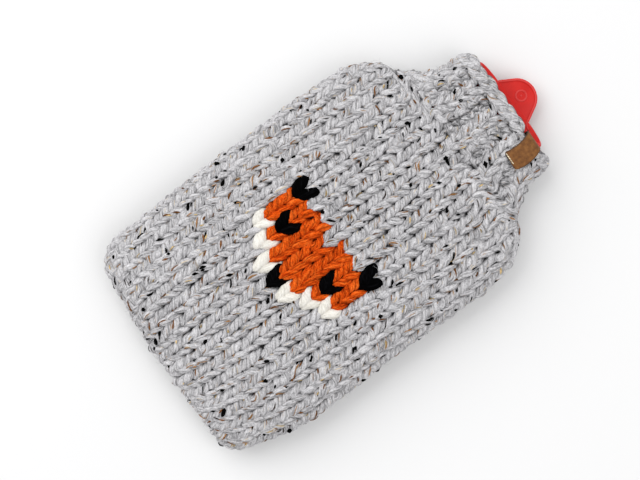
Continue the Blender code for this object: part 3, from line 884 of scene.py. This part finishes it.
def addRun(pile, strand, start, end):
    skin, shade = strandSkin(strand)
    around = len(profile)
    rings = len(strand["centres"])
    tint = shadeTint(shade, np.repeat(strand["tone"], around))
    offset = tuple(strand["row"] * step for step in yarn["patternStep"])
    if end - start == len(strand["places"]):
        pile.tube(skin, tint, around, strand["travel"], offset, True)
        return
    picked = np.arange(start * yarn["samples"], end * yarn["samples"] + 1) % rings
    travel = np.arange(len(picked)) * strand["travel"][-1] / rings
    skin = skin.reshape(rings, around, 3)[picked].reshape(-1, 3)
    tint = tint.reshape(rings, around, 4)[picked].reshape(-1, 4)
    pile.tube(skin, tint, around, travel, offset, False)


for groupName, rows in groups.items():
    pile = Pile()
    for row in rows:
        for colour, start, end in colourRuns(strands[row]):
            addRun(foxPiles.get(colour, pile), strands[row], start, end)
    knitPieces.append(pileObject(groupName, pile, yarnMaterials["tweed"]))
    print(groupName, "triangles:", 2 * sum(len(q) for q in pile.quads))

for colour, pile in foxPiles.items():
    knitPieces.append(pileObject("fox_" + colour + "_stitches", pile, yarnMaterials[colour]))


# the bound-off edge

edge = {
    "loops": 20,
    "place": 0.3355,           # distance from the bottom fold to the level that heights count from
    "radius": 0.0037,
    "overlap": 0.42,           # a loop reaches this share of its pitch past its own
    "thin": 0.48,              # the yarn thins by this share at both ends
    # height and depth of the front leg and of the leg behind it, at the loop's -X end and its tip
    "frontStart": (-0.0046, 0.0026),
    "backStart": (0.0050, 0.0070),
    "tip": (0.0020, 0.0036),
    "samples": 32,
    "plySteps": 6,
    "shadeDepth": 0.0036,      # no part is shaded as if it lay deeper than this
    "pressedPlace": 0.0357,    # the label, this far from the middle line, presses the loops
    "pressedWidth": 0.0120,    # this near to it down
    "pressedTo": -0.0016,      # to this height,
    "pressedRise": 0.01,       # and the others may rise by this much more
    "unevenPlace": 0.03,       # random shares of the pitch, of the radius and of the tone, and
    "unevenRadius": 0.06,      # random lengths in height and depth
    "unevenTone": 0.15,
    "unevenLevel": 0.0004,
    "patternStep": 1.1,        # each loop's fibres start elsewhere in the pattern
    "patternRound": 0.3,
}


def boundOffLoop(number):
    # a teardrop lying along the edge. Over the angle a: along = (1 - cos a) / 2; the front leg,
    # sin a > 0, climbs to the tip and the back leg comes down from it along the top of the edge
    a = np.arange(edge["samples"]) / edge["samples"] * 2 * math.pi
    along = (1 - np.cos(a)) / 2
    front = (1 + np.sin(a) * np.sqrt(np.abs(np.sin(a)))) / 2
    place = number - 0.5 + (along - 0.5) * (1 + edge["overlap"]) + dice.normal(0, edge["unevenPlace"])
    loopTurn = place / edge["loops"]
    turn = loopTurn + knit["ribShift"] / surface["around"][-1]
    shaky = dice.normal(0, edge["unevenLevel"], 6)

    def level(which):
        start = edge["backStart"][which] * (1 - front) + edge["frontStart"][which] * front
        return start * (1 - along) + edge["tip"][which] * along

    lift = level(0) + shaky[0] + shaky[1] * np.cos(a) + shaky[2] * np.sin(a)
    fromLabel = np.abs(((loopTurn + 0.5) % 1.0 - 0.5) * surface["around"][-1] - edge["pressedPlace"])
    free = smoothStep(fromLabel, edge["pressedWidth"], 1.5 * edge["pressedWidth"])
    lift = np.minimum(lift, edge["pressedTo"] + edge["pressedRise"] * free)
    depth = level(1) + shaky[3] + shaky[4] * np.cos(a) + shaky[5] * np.sin(a)
    reach = np.broadcast_to(alongToReach(edge["place"]) + lift, turn.shape)
    centres, outward = onSurface(turn, reach, depth)
    radius = edge["radius"] * (1 - edge["thin"] * np.cos(a) ** 4)
    radius = radius * (1 + dice.normal(0, edge["unevenRadius"]))
    phase = -a * edge["plySteps"] / yarn["plies"] + dice.uniform(0, 6)
    shadeDepth = np.minimum(depth, edge["shadeDepth"])
    return {"centres": centres, "outward": outward, "radius": radius, "phase": phase,
            "shadeDepth": shadeDepth, "groove": np.ones(len(a))}


edgePile = Pile()
for number in range(edge["loops"]):
    loop = strandFrame(boundOffLoop(number))
    skin, shade = strandSkin(loop)
    tint = shadeTint(shade, 0.5 + dice.normal(0, edge["unevenTone"]))
    offset = (number * edge["patternStep"], edge["patternRound"])
    edgePile.tube(skin, tint, len(profile), loop["travel"], offset, True)
knitPieces.append(pileObject("knit_bound_off_edge", edgePile, yarnMaterials["tweed"]))
print("edge bound off")


# tweed flecks and fuzz

flecks = {
    # colour, how many in a row of the body, half width, length, corners round
    "kinds": [
        ((0.001, 0.001, 0.001), 6, 0.00150, 0.0042, 7),
        ((0.001, 0.001, 0.001), 8, 0.00085, 0.0034, 5),
        ((0.20, 0.085, 0.03), 10, 0.00068, 0.0048, 4),
        ((0.33, 0.17, 0.07), 12, 0.00054, 0.0052, 4),
        ((0.58, 0.42, 0.20), 8, 0.00060, 0.0034, 5),
        ((0.05, 0.035, 0.03), 12, 0.00036, 0.0040, 4),
    ],
    "stations": 6,             # points along a fleck
    "tries": 4,                # places drawn for each, of which those that show are kept
    "shownDepth": 0.0052,      # they lie on legs and bumps that show
    "spread": 1.1,             # angle to the yarn's front, at most
    "follow": 0.8,             # how much of the plies' winding a fleck follows
    "sink": 0.96,              # of the yarn's radius
    "curl": 0.0014,            # a far end stands off by this at most, and few by much
    "size": (0.5, 1.5),        # random shares, from and to
    "fatness": (0.55, 1.35),
    "lumps": (0.65, 1.3),
    "tone": (0.6, 1.3),
    "flatten": 0.62,
}
fuzz = {
    "perRow": 56,
    "stations": 5,
    "corners": 3,              # round a fibre
    "radius": 0.00010,
    "thinning": 0.6,           # towards the far end
    "spread": 1.2,
    "sink": 0.9,
    "length": (0.003, 0.008),
    "bend": 0.3,               # a random share of the length
    "rise": (0.0004, 0.0024),
    "fall": 0.8,               # share of the arch before its far end
    "colour": (0.66, 0.66, 0.67),
    "tone": (0.7, 1.3),
    "labelCentre": 0.0345,     # none stands through the label
    "labelHalfWidth": 0.0110,
    "labelEnd": 0.3130,
}


def readStrand(strand, field, place):
    # linear reading between two points of a strand
    low = place.astype(int)
    part = place - low
    values = strand[field]
    if values.ndim > 1:
        part = part[..., None]
    return values[low] * (1 - part) + values[low + 1] * part


def spindles(pile, path, outward, thickness, flatten, around, colour):
    # many tapered bodies at once, with open ends: path is (bodies, stations, 3) and thickness
    # (bodies, stations); a ring point = path + thickness (flatten cos a front + sin a side)
    bodies, stations = path.shape[:2]
    tangent = np.gradient(path, axis=1)
    tangent /= np.linalg.norm(tangent, axis=2, keepdims=True) + 1e-12
    side = np.cross(tangent, outward)
    side /= np.linalg.norm(side, axis=2, keepdims=True) + 1e-12
    front = np.cross(side, tangent)
    angle = np.arange(around) / around * 2 * math.pi
    ring = np.cos(angle)[:, None] * flatten * front[:, :, None]
    ring = ring + np.sin(angle)[:, None] * side[:, :, None]
    points = path[:, :, None] + ring * thickness[:, :, None, None]
    quads = gridQuads(stations, around)
    quads = (quads + (np.arange(bodies) * stations * around)[:, None, None]).reshape(-1, 4)
    points = points.reshape(-1, 3)
    colours = np.repeat(np.concatenate([colour, np.ones((bodies, 1))], 1), stations * around, 0)
    pile.add(points, quads, np.zeros((len(quads), 4, 2)), colours)


def fleckRow(pile, strand, colour, wanted, halfWidth, length, around):
    # a fleck keeps its angle to a ply along the strand, half sunk in it; its thickness follows
    # sin^0.8 over nearly half a turn
    stations = flecks["stations"]
    points = len(strand["centres"])
    travel = strand["travel"][:points]
    share = np.linspace(0, 1, stations)
    begin = dice.uniform(0, travel[-2] - 2 * length, wanted * flecks["tries"])
    size = dice.uniform(*flecks["size"], wanted * flecks["tries"])
    place = np.interp(begin[:, None] + share * length * size[:, None], travel, np.arange(points))
    ends = np.stack([place[:, 0], place[:, stations // 2], place[:, -1]]).astype(int)
    shown = (strand["depth"][ends].max(0) < flecks["shownDepth"]) & strand["grey"][ends].all(0)
    place = place[shown][:wanted]
    count = len(place)
    spread = dice.uniform(-flecks["spread"], flecks["spread"], count)[:, None]
    wound = readStrand(strand, "phase", place) - readStrand(strand, "phase", place[:, :1])
    angle = spread + flecks["follow"] * wound
    out = np.cos(angle)[..., None] * readStrand(strand, "front", place)
    out = out + np.sin(angle)[..., None] * readStrand(strand, "side", place)
    radius = readStrand(strand, "radius", place) * flecks["sink"]
    curl = dice.uniform(0, 1, count)[:, None] ** 6 * flecks["curl"] * share ** 2
    path = readStrand(strand, "centres", place) + out * (radius + curl)[..., None]
    plump = np.sin(np.pi * (0.06 + 0.88 * share)) ** 0.8
    thickness = halfWidth * dice.uniform(*flecks["fatness"], count)[:, None] * plump
    thickness = thickness * dice.uniform(*flecks["lumps"], (count, stations))
    tint = np.clip(np.array(colour) * dice.uniform(*flecks["tone"], (count, 1)), 0, 1)
    spindles(pile, path, out, thickness, flecks["flatten"], around, tint)


def underLabel(points):
    fromMiddle = np.abs(points[..., 0] - cover["middle"] - fuzz["labelCentre"])
    return (fromMiddle < fuzz["labelHalfWidth"]) & (points[..., 1] > bottomY + fuzz["labelEnd"])


def fuzzRow(pile, strand):
    # a loose fibre leaves the yarn and bows sideways with s^2, arches as sin(fall pi s) and stands
    # off at its far end
    wanted, stations = fuzz["perRow"], fuzz["stations"]
    share = np.linspace(0, 1, stations)
    start = dice.uniform(0, len(strand["centres"]) - 3, wanted)[:, None] + 0 * share
    angle = dice.uniform(-fuzz["spread"], fuzz["spread"], wanted)[:, None] + 0 * share
    out = np.cos(angle)[..., None] * readStrand(strand, "front", start)
    out = out + np.sin(angle)[..., None] * readStrand(strand, "side", start)
    base = out * readStrand(strand, "radius", start)[..., None] * fuzz["sink"]
    base = readStrand(strand, "centres", start) + base
    heading = dice.normal(0, 1, (wanted, 1, 3))
    heading = heading - (heading * out).sum(-1, keepdims=True) * out
    heading /= np.linalg.norm(heading, axis=-1, keepdims=True)
    bend = np.cross(out, heading) * dice.normal(0, fuzz["bend"], (wanted, 1, 1))
    length = dice.uniform(*fuzz["length"], (wanted, 1, 1))
    rise = dice.uniform(*fuzz["rise"], (wanted, 1, 1))
    travelled = share[:, None]
    path = base + length * (heading * travelled + bend * travelled ** 2)
    path = path + rise * out * np.sin(math.pi * fuzz["fall"] * travelled)
    path[..., 2] = np.maximum(path[..., 2], fuzz["radius"])
    thickness = np.broadcast_to(fuzz["radius"] * (1 - fuzz["thinning"] * share), (wanted, stations))
    tint = np.clip(np.array(fuzz["colour"]) * dice.uniform(*fuzz["tone"], (wanted, 1)), 0, 1)
    kept = strand["grey"][start[:, 0].astype(int)] & ~underLabel(path).any(1)
    spindles(pile, path[kept], out[kept], thickness[kept], 1.0, fuzz["corners"], tint[kept])


fleckPile, fuzzPile = Pile(), Pile()
for strand in strands:
    share = len(strand["places"]) / len(strands[0]["places"])
    for colour, wanted, halfWidth, length, around in flecks["kinds"]:
        fleckRow(fleckPile, strand, colour, round(wanted * share), halfWidth, length, around)
    fuzzRow(fuzzPile, strand)
fleckObject = pileObject("tweed_flecks", fleckPile, fleckMaterial("fleck_fibre", 0.9))
fuzzObject = pileObject("tweed_fuzz", fuzzPile, fleckMaterial("fuzz_fibre", 0.95))
knitPieces += [fleckObject, fuzzObject]
for piece in knitPieces[-2:]:
    print(piece.name, "triangles:", 2 * len(piece.data.polygons))


# the inner face of the knitting

ground = {
    "depth": 0.0072,
    "thickness": 0.0015,
    "from": 0.0016,            # reach of its lowest edge
    "to": 0.2743,              # distance from the bottom fold where the collar's open ribs start
    "steps": 90,
    "around": 140,
    "bumps": 0.0003,           # heads and feet show on the inside as a ripple, one for each
    "rowPitch": 0.0088,        # row and column
    "columns": 34,
    "girth": 0.45,
    # painted shade: the share of the crevice colour that darkens the whole inner face
    "shade": 0.85,
}


def knitGround():
    # the cover's surface moved inwards, rippled by cos(2 pi rows) cos(2 pi columns)
    reach = np.linspace(ground["from"], float(alongToReach(ground["to"])), ground["steps"])
    turn = np.arange(ground["around"]) / ground["around"]
    reaches, turns = (grid.ravel() for grid in np.meshgrid(reach, turn, indexing="ij"))
    ripple = np.cos(reaches / ground["rowPitch"] * 2 * math.pi)
    ripple = ripple * np.cos(turns * ground["columns"] * 2 * math.pi)
    points, _ = onSurface(turns, reaches, ground["depth"] + ground["bumps"] * ripple)
    quads = gridQuads(ground["steps"], ground["around"])
    uvs = np.stack([turns * ground["girth"], reaches], 1)[quads]
    # the inner face is darkened with painted shade
    tint = shadeTint(np.full(len(points), ground["shade"]))
    made = meshObject("knit_inner_face", points, quads, uvs, yarnMaterials["tweed"], tint)
    wall = made.modifiers.new("wall", "SOLIDIFY")
    wall.thickness = ground["thickness"]
    wall.offset = -1.0
    return made


innerFace = knitGround()
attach(innerFace, "root")
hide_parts("knitted_cover")
for piece in knitPieces:
    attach(piece, "root")
    colour = piece.name.split("_")[1] if piece.name.startswith("fox") else "tweed"
print("knitted")


# camera, floor and light

view = {
    "centre": (-0.0049, 0.1589),   # x, and the distance from the bottom fold
    "width": 0.496,            # of the picture at the cover's top
    "height": 1.35,
    "turn": 53.8,              # degrees from +X to the picture's right
    "lens": 95.0,
}
studio = {
    # a lamp's watts and width, and how far it stands to the picture's right, to its top and up
    "key": (26.0, 2.0, -1.0, 0.9, 1.3),
    "fill": (11.0, 1.8, 1.1, -0.6, 1.6),
    "sky": (0.985, 0.985, 0.99, 1),
    "skyStrength": 0.77,
    "floor": (0.77, 0.77, 0.77),
    "floorHalf": 3.0,
}


def addToScene(name, data, location, rotation):
    thing = bpy.data.objects.new(name, data)
    thing.location = location
    thing.rotation_euler = rotation
    bpy.context.scene.collection.objects.link(thing)
    return thing


def makeStage():
    half = studio["floorHalf"]
    corners = np.array([(-half, -half, 0), (half, -half, 0), (half, half, 0), (-half, half, 0)], float)
    floor = meshObject("floor", corners, np.array([[0, 1, 2, 3]]))
    finish = Finish("pale_floor", 0.9)
    finish.put(finish.shader, "Base Color", studio["floor"])
    floor.data.materials.append(finish.material)

    turn = math.radians(view["turn"])
    camera = bpy.data.cameras.new("camera")
    camera.lens = view["lens"]
    camera.sensor_width = view["width"] * view["lens"] / (view["height"] - cadHigh.z)
    place = (view["centre"][0], bottomY + view["centre"][1], view["height"])
    bpy.context.scene.camera = addToScene("camera", camera, place, (0, 0, turn))

    # a lamp looks at the origin: tilted from straight down by acos(height / distance)
    right = np.array([math.cos(turn), math.sin(turn), 0])
    up = np.array([-math.sin(turn), math.cos(turn), 0])
    for name in ("key", "fill"):
        watts, width, toRight, toTop, height = studio[name]
        light = bpy.data.lights.new(name, "AREA")
        light.energy, light.size = watts, width
        place = toRight * right + toTop * up + np.array([0, 0, height])
        tilt = math.acos(place[2] / np.linalg.norm(place))
        addToScene(name, light, tuple(place), (tilt, 0, math.atan2(-place[1], -place[0]) - math.pi / 2))

    world = bpy.data.worlds.new("studio")
    world.use_nodes = True
    world.node_tree.nodes["Background"].inputs["Color"].default_value = studio["sky"]
    world.node_tree.nodes["Background"].inputs["Strength"].default_value = studio["skyStrength"]
    bpy.context.scene.world = world
    bpy.context.scene.view_settings.view_transform = "Standard"


# the rubber bottle

bottle = {
    # distance from the cover's bottom fold, half width, lowest and highest point
    "bottom": [
        (0.0100, 0.0740, 0.0155, 0.0195),
        (0.0123, 0.0795, 0.0123, 0.0237),
        (0.0160, 0.0835, 0.0100, 0.0269),
    ],
    "top": [
        (0.2763, 0.0770, 0.0097, 0.0320),
        (0.2838, 0.0640, 0.0098, 0.0318),
        (0.2903, 0.0490, 0.0102, 0.0315),
        (0.2958, 0.0350, 0.0106, 0.0312),
        (0.3008, 0.0245, 0.0108, 0.0308),
        (0.3068, 0.0195, 0.0108, 0.0303),
        (0.3128, 0.0195, 0.0108, 0.0300),
        (0.3193, 0.0225, 0.0108, 0.0292),
        (0.3263, 0.0290, 0.0108, 0.0282),
        (0.3338, 0.0360, 0.0108, 0.0273),
        (0.3393, 0.0400, 0.0108, 0.0267),
        (0.3423, 0.0408, 0.0109, 0.0264),
    ],
    "inCover": 0.0095,         # wall of the cover and the gap to it
    "shoulder": 0.2703,
    "neck": 0.3128,            # the narrowest place, above which the funnel leans
    "neckShift": -0.0019,      # neck, funnel and tab lie off the cover's middle line
    "mouthSlant": 0.0035,      # the back of the mouth reaches this far on
    "wall": 0.0025,
    "floor": 0.3168,           # the funnel is hollow down to here
    "around": 96,
    "step": 0.0025,            # between sections
    "smoothing": (0.1, 0.2, 0.4, 0.2, 0.1),   # shares of neighbouring steps in one section
    "bead": 0.0006,            # the rim is this much thicker than the wall on each side
    "beadSteps": 9,
}


def loftObject(name, rings, material):
    # rings of equal count, joined in order and closed at both ends
    around = len(rings[0])
    points, quads = closeEnds(np.concatenate(rings), gridQuads(len(rings), around), around)
    return meshObject(name, points, quads, None, material)


def bottleSections():
    # the cover's sections drawn in, then the shoulder, neck and flared funnel, read at even steps
    # and smoothed
    wall = bottle["inCover"]
    body = [(along, halfWidth - wall, low + wall, high - wall)
            for along, halfWidth, low, high in cover["sections"]
            if bottle["bottom"][-1][0] < along < bottle["shoulder"]]
    table = np.array(bottle["bottom"] + body + bottle["top"])
    along = np.arange(table[0, 0], table[-1, 0], bottle["step"])
    columns = [along]
    for column in (1, 2, 3):
        read = np.interp(along, table[:, 0], table[:, column])
        padded = np.concatenate([read[:1].repeat(2), read, read[-1:].repeat(2)])
        columns.append(np.convolve(padded, bottle["smoothing"], "valid"))
    return list(zip(*columns)), table[-1]


def bottleRings():
    # outside from the bottom to the mouth; over the rim a half circle, as wide as the wall and the
    # bead on both sides; then back down inside the funnel. The mouth's lower side slants outwards
    outside, mouth = bottleSections()
    halfWall = bottle["wall"] / 2
    beadRadius = halfWall + bottle["bead"]
    inwards = np.array([-1, 1, -1])
    rim = [(mouth[0] + beadRadius * math.cos(turn),
            *(mouth[1:] + inwards * (halfWall + beadRadius * math.sin(turn))))
           for turn in np.linspace(-0.5, 0.5, bottle["beadSteps"]) * math.pi]
    inside = [(row[0], *(np.array(row[1:]) + inwards * bottle["wall"]))
              for row in reversed(outside) if bottle["floor"] < row[0] < mouth[0] - bottle["step"]]
    rings = []
    for place, halfWidth, low, high in outside + rim + inside:
        ring, _ = outlineRing(halfWidth, low, high, bottle["around"])
        below = ((low + high) / 2 - ring[:, 1]) / ((high - low) / 2)
        laid = layOut(ring, place)
        laid[:, 0] += bottle["neckShift"] * smoothStep(place, bottle["shoulder"], bottle["neck"])
        laid[:, 1] += bottle["mouthSlant"] * smoothStep(place, bottle["neck"], mouth[0]) * below
        rings.append(laid)
    return rings


rubber = rubberMaterial("red_rubber", 0.0)
# a paler copy of the red rubber, as a painted highlight on the raised border, ring and dot
highlightRubber = rubberMaterial("red_rubber_raised", redRubber["paintedHighlightGain"])
bottlePiece = loftObject("rubber_bottle_skin", bottleRings(), rubber)
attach(bottlePiece, "root")
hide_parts("rubber_bottle")


# the bottle's hanging tab

tab = {
    "back": 0.0113,            # height of its back face
    "thickness": 0.0030,
    "topRadius": 0.0163,
    "footHalfWidth": 0.0203,
    "foot": 0.3483,            # distance from the bottom fold where the straight sides end
    "root": 0.3358,            # and where it joins the mouth's rim
    "filletWidth": 0.0070,
    "filletHeight": 0.0035,
    "arcStart": 0.02,          # angle of the first point, just beside the middle
    "arcPoints": 22,
    "filletPoints": 9,
    "border": 0.0019,
    "relief": 0.0011,          # the panel inside the border lies this much lower
    "edge": 0.0007,            # rounding of its edges
    "mark": 0.3553,            # distance from the bottom fold to the moulded ring and dot
    "markRadius": 0.0042,
    "markWidth": 0.0007,
    "markLift": 0.7,           # height of the ring's ridge against its half width
    "markSides": 48,
    "ridgeCorners": 12,
    "dotRadius": 0.0008,
    "dotLift": 0.6,
    "dotRings": 8,
}


def tabMiddle():  # x of the tab's middle line
    return cover["middle"] + bottle["neckShift"]


def tabOutline():
    # right half: an arc round the top, a straight side tangent to it, a hollow fillet at the foot
    top = tabEndY - bottomY - tab["topRadius"]
    reach = math.hypot(tab["footHalfWidth"], top - tab["foot"])
    lean = math.atan2(tab["footHalfWidth"], top - tab["foot"]) - math.asin(tab["topRadius"] / reach)
    arc = np.linspace(tab["arcStart"], math.pi / 2 - lean, tab["arcPoints"])
    fillet = np.linspace(0, math.pi / 2, tab["filletPoints"])
    x = np.concatenate([tab["topRadius"] * np.sin(arc),
                        tab["footHalfWidth"] + tab["filletWidth"] * (1 - np.cos(fillet)),
                        [tab["footHalfWidth"] + tab["filletWidth"]]])
    y = np.concatenate([top + tab["topRadius"] * np.cos(arc),
                        tab["foot"] - tab["filletHeight"] * np.sin(fillet),
                        [tab["root"]]])
    right = np.stack([x, y], 1)
    left = right[::-1] * np.array([-1, 1])
    return np.concatenate([right, left])


def hangingTab():
    # the outline drawn in step by step, at the heights of back, edge, border, slope and panel; the
    # back and the panel are ladders of faces from the right half to the left half
    outline = tabOutline()
    count = len(outline)
    ahead = np.roll(outline, -1, 0) - np.roll(outline, 1, 0)
    inwards = np.stack([ahead[:, 1], -ahead[:, 0]], 1)
    inwards /= np.linalg.norm(inwards, axis=1, keepdims=True)
    back, border, soft, relief = (tab[name] for name in ("back", "border", "edge", "relief"))
    front = back + tab["thickness"]
    panel = front - relief
    # how far the outline is drawn in, and the height there
    steps = [(border, back), (soft, back), (soft * 0.3, back + soft * 0.3), (0.0, back + soft),
             (0.0, front - soft), (soft * 0.3, front - soft * 0.3), (soft, front),
             (border * 0.8, front), (border, front - relief * 0.25),
             (border * 1.2, front - relief * 0.8), (border * 1.4, panel)]
    rings = [np.concatenate([outline + inwards * inset, np.full((count, 1), height)], 1)
             for inset, height in steps]
    points = np.concatenate(rings) + np.array([tabMiddle(), bottomY, 0])
    rung = np.arange(count // 2 - 1)
    ladder = np.stack([rung, count - 1 - rung, count - 2 - rung, rung + 1], 1)
    panelFaces = ladder[:, ::-1] + (len(rings) - 1) * count
    quads = np.concatenate([gridQuads(len(rings), count), ladder, panelFaces])
    made = meshObject("hanging_tab", points, quads, None, rubber)
    made.data.materials.append(highlightRubber)
    # painted highlight on the border's flat top and the start of its slope
    highlightedFaces = np.zeros(len(quads), int)
    highlightedFaces[6 * count:8 * count] = 1     # the border's flat top and the start of its slope
    made.data.polygons.foreach_set("material_index", highlightedFaces)
    return made, panel


def tabMark(height):
    # moulded ring: a flattened round ridge, half sunk, turned round the mark's centre. Dot: rings of
    # radius r cos s at the height lift r sin s
    sides = tab["markSides"]
    turn = np.arange(sides) / sides * 2 * math.pi
    around = np.arange(tab["ridgeCorners"]) / tab["ridgeCorners"] * 2 * math.pi
    centreX, centreY = tabMiddle(), bottomY + tab["mark"]
    distance = tab["markRadius"] + tab["markWidth"] * np.cos(around)
    lift = height + tab["markWidth"] * tab["markLift"] * np.sin(around)
    x = np.cos(turn)[:, None] * distance + centreX
    y = np.sin(turn)[:, None] * distance + centreY
    points = np.stack([x, y, np.broadcast_to(lift, x.shape)], -1).reshape(-1, 3)
    quads = turnedOver(gridQuads(sides, len(around), True))
    # the ring takes the paler red of the painted highlight, and so does the dot
    ringPiece = meshObject("tab_ring_mark", points, quads, None, highlightRubber)
    rings = []
    for slope in np.linspace(-0.4, 0.5, tab["dotRings"])[:-1] * math.pi:
        radius = tab["dotRadius"] * math.cos(slope)
        lift = height + tab["dotRadius"] * tab["dotLift"] * math.sin(slope)
        rings.append(np.stack([np.sin(-turn) * radius + centreX, np.cos(turn) * radius + centreY,
                               np.full(sides, lift)], 1))
    return [ringPiece, loftObject("tab_dot_mark", rings, highlightRubber)]


tabPiece, panelHeight = hangingTab()
for piece in [tabPiece] + tabMark(panelHeight):
    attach(piece, "root")
print("bottle made")


# the leather label

label = {
    "thickness": 0.0015,
    "standOff": 0.0019,        # middle of the leather above the knitted surface
    "knitting": 0.009,         # thickness of the knitting that it is folded over
    "outerEnd": 0.3145,        # distances from the bottom fold
    "innerEnd": 0.3218,
    "fold": 0.3337,
    "points": (50, 33, 16),    # up the front, round the fold and down inside
    "centre": 0.0357,
    "width": 0.0168,
    "bulge": 15.0,             # the strip bows towards +X: x falls by this times the square of the
    "bulgePlace": 0.0105,      # distance from this far up the strip
    "bulgeEnd": 0.0270,
    "corner": 0.0024,          # radius of the outer end's corners
    "across": 28,
    # the dark border is worn edge and painted shade, wider on the -X side
    "edgeWearAndShade": 0.0007,        # width of the dark border, and on its -X side
    "edgeWearAndShadeLeft": 0.0014,
}
thread = {
    "place": 0.0009,           # the sewing stands this far in from the label's end
    "stitches": 5,
    "starts": (-0.41, 0.08),   # of the first and the last stitch, in shares of the label's width
    "share": 0.8,              # of a stitch's pitch that shows
    "lean": 0.0003,            # its far end lies this much further up
    "radius": 0.00040,
    "stations": 9,             # points along a stitch, and corners round it
    "corners": 8,
    "arch": 1.8,               # in radii, above a start this far down in the leather
    "sunk": 0.8,
    "colour": (0.80, 0.70, 0.50),
}


def labelPath(x):
    # up the front, half a circle over the edge, down inside; heights follow the collar's section,
    # z = h (1 - |x/a|^n)^(1/n). Gives the distance up the strip, the place and the height
    section = cover["sections"][-2]

    def heightAt(inset):
        low, high = section[2] + inset, section[3] - inset
        share = 1 - (np.abs(x) / (section[1] - inset)) ** cover["squareness"]
        return (low + high) / 2 + (high - low) / 2 * share ** (1 / cover["squareness"])

    outer = heightAt(0.0)
    inner = heightAt(label["knitting"])
    middle = (outer + inner) / 2
    radius = (outer - inner) / 2 + label["standOff"]
    upCount, turnCount, downCount = label["points"]
    up = np.linspace(label["outerEnd"], label["fold"], upCount)[:-1]
    turns = np.linspace(0, math.pi, turnCount)
    down = np.linspace(label["fold"], label["innerEnd"], downCount)[1:]
    along = np.concatenate([up, label["fold"] + radius * np.sin(turns), down])
    height = np.concatenate([0 * up + outer + label["standOff"], middle + radius * np.cos(turns),
                             0 * down + inner - label["standOff"]])
    return travelAlong(along, height), along, height


def leatherLabel():
    # columns of points across the strip; x follows the bow, and near the outer end it draws in
    # round the corners by r - sqrt(r^2 - (r - d)^2). The dark border, worn edge and painted shade,
    # falls from 1 at an edge to 0
    across = np.linspace(-0.5, 0.5, label["across"]) * label["width"]
    columns = []
    corner = label["corner"]
    for x in across:
        travel, along, height = labelPath(x + label["centre"])
        bow = -label["bulge"] * (np.minimum(travel, label["bulgeEnd"]) - label["bulgePlace"]) ** 2
        short = np.clip(corner - travel, 0, corner)
        drawn = 1 - (corner - np.sqrt(corner ** 2 - short ** 2)) / (label["width"] / 2)
        middle = label["centre"] + cover["middle"]
        columns.append(np.stack([middle + x * drawn + bow, bottomY + along, height], 1))
    points = np.array(columns)
    quads = turnedOver(gridQuads(*points.shape[:2], False, False))
    fromLeft = (across - across[0])[:, None] / label["edgeWearAndShadeLeft"] + 0 * travel
    fromRight = (across[-1] - across)[:, None] / label["edgeWearAndShade"] + 0 * travel
    nearest = np.minimum(np.minimum(fromLeft, fromRight), travel / label["edgeWearAndShade"])
    wornAndShaded = np.clip(1 - nearest, 0, 1).ravel()
    made = meshObject("leather_strip", points.reshape(-1, 3), quads, None, leatherMaterial(),
                      shadeTint(wornAndShaded, wornAndShaded))
    made.data.materials.append(cutEdgeMaterial())
    wall = made.modifiers.new("leather", "SOLIDIFY")
    wall.thickness = label["thickness"]
    wall.offset = 0.0
    wall.material_offset_rim = 1
    return made


def labelThreads():
    # a row of short stitches across the outer end: each an arch sin(pi s) that dips into the leather
    count = thread["stitches"]
    share = np.linspace(0, 1, thread["stations"])
    starts = np.linspace(*thread["starts"], count) * label["width"]
    reach = thread["share"] * (starts[1] - starts[0])
    paths = [labelPath(middle) for middle in starts + reach / 2 + label["centre"]]
    level = np.array([[np.interp(thread["place"], path[0], path[2])] for path in paths])
    level = level + label["thickness"] / 2
    x = starts[:, None] + share * reach + label["centre"] + cover["middle"]
    x = x - label["bulge"] * (thread["place"] - label["bulgePlace"]) ** 2
    y = np.full(x.shape, bottomY + label["outerEnd"] + thread["place"]) + thread["lean"] * (share - 0.5)
    z = level + thread["radius"] * (thread["arch"] * np.sin(math.pi * share) - thread["sunk"])
    path = np.stack([x, y, z], -1)
    out = np.broadcast_to(np.array([0.0, 0.0, 1.0]), path.shape)
    thickness = np.full(x.shape, thread["radius"])
    pile = Pile()
    tint = np.tile(thread["colour"], (count, 1))
    spindles(pile, path, out, thickness, 1.0, thread["corners"], tint)
    return pileObject("label_thread", pile, fleckMaterial("cream_thread", 0.8))


labelPiece, threadPiece = leatherLabel(), labelThreads()
for piece in (labelPiece, threadPiece):
    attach(piece, "root")
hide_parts("leather_label")
print("label folded over the edge")

makeStage()
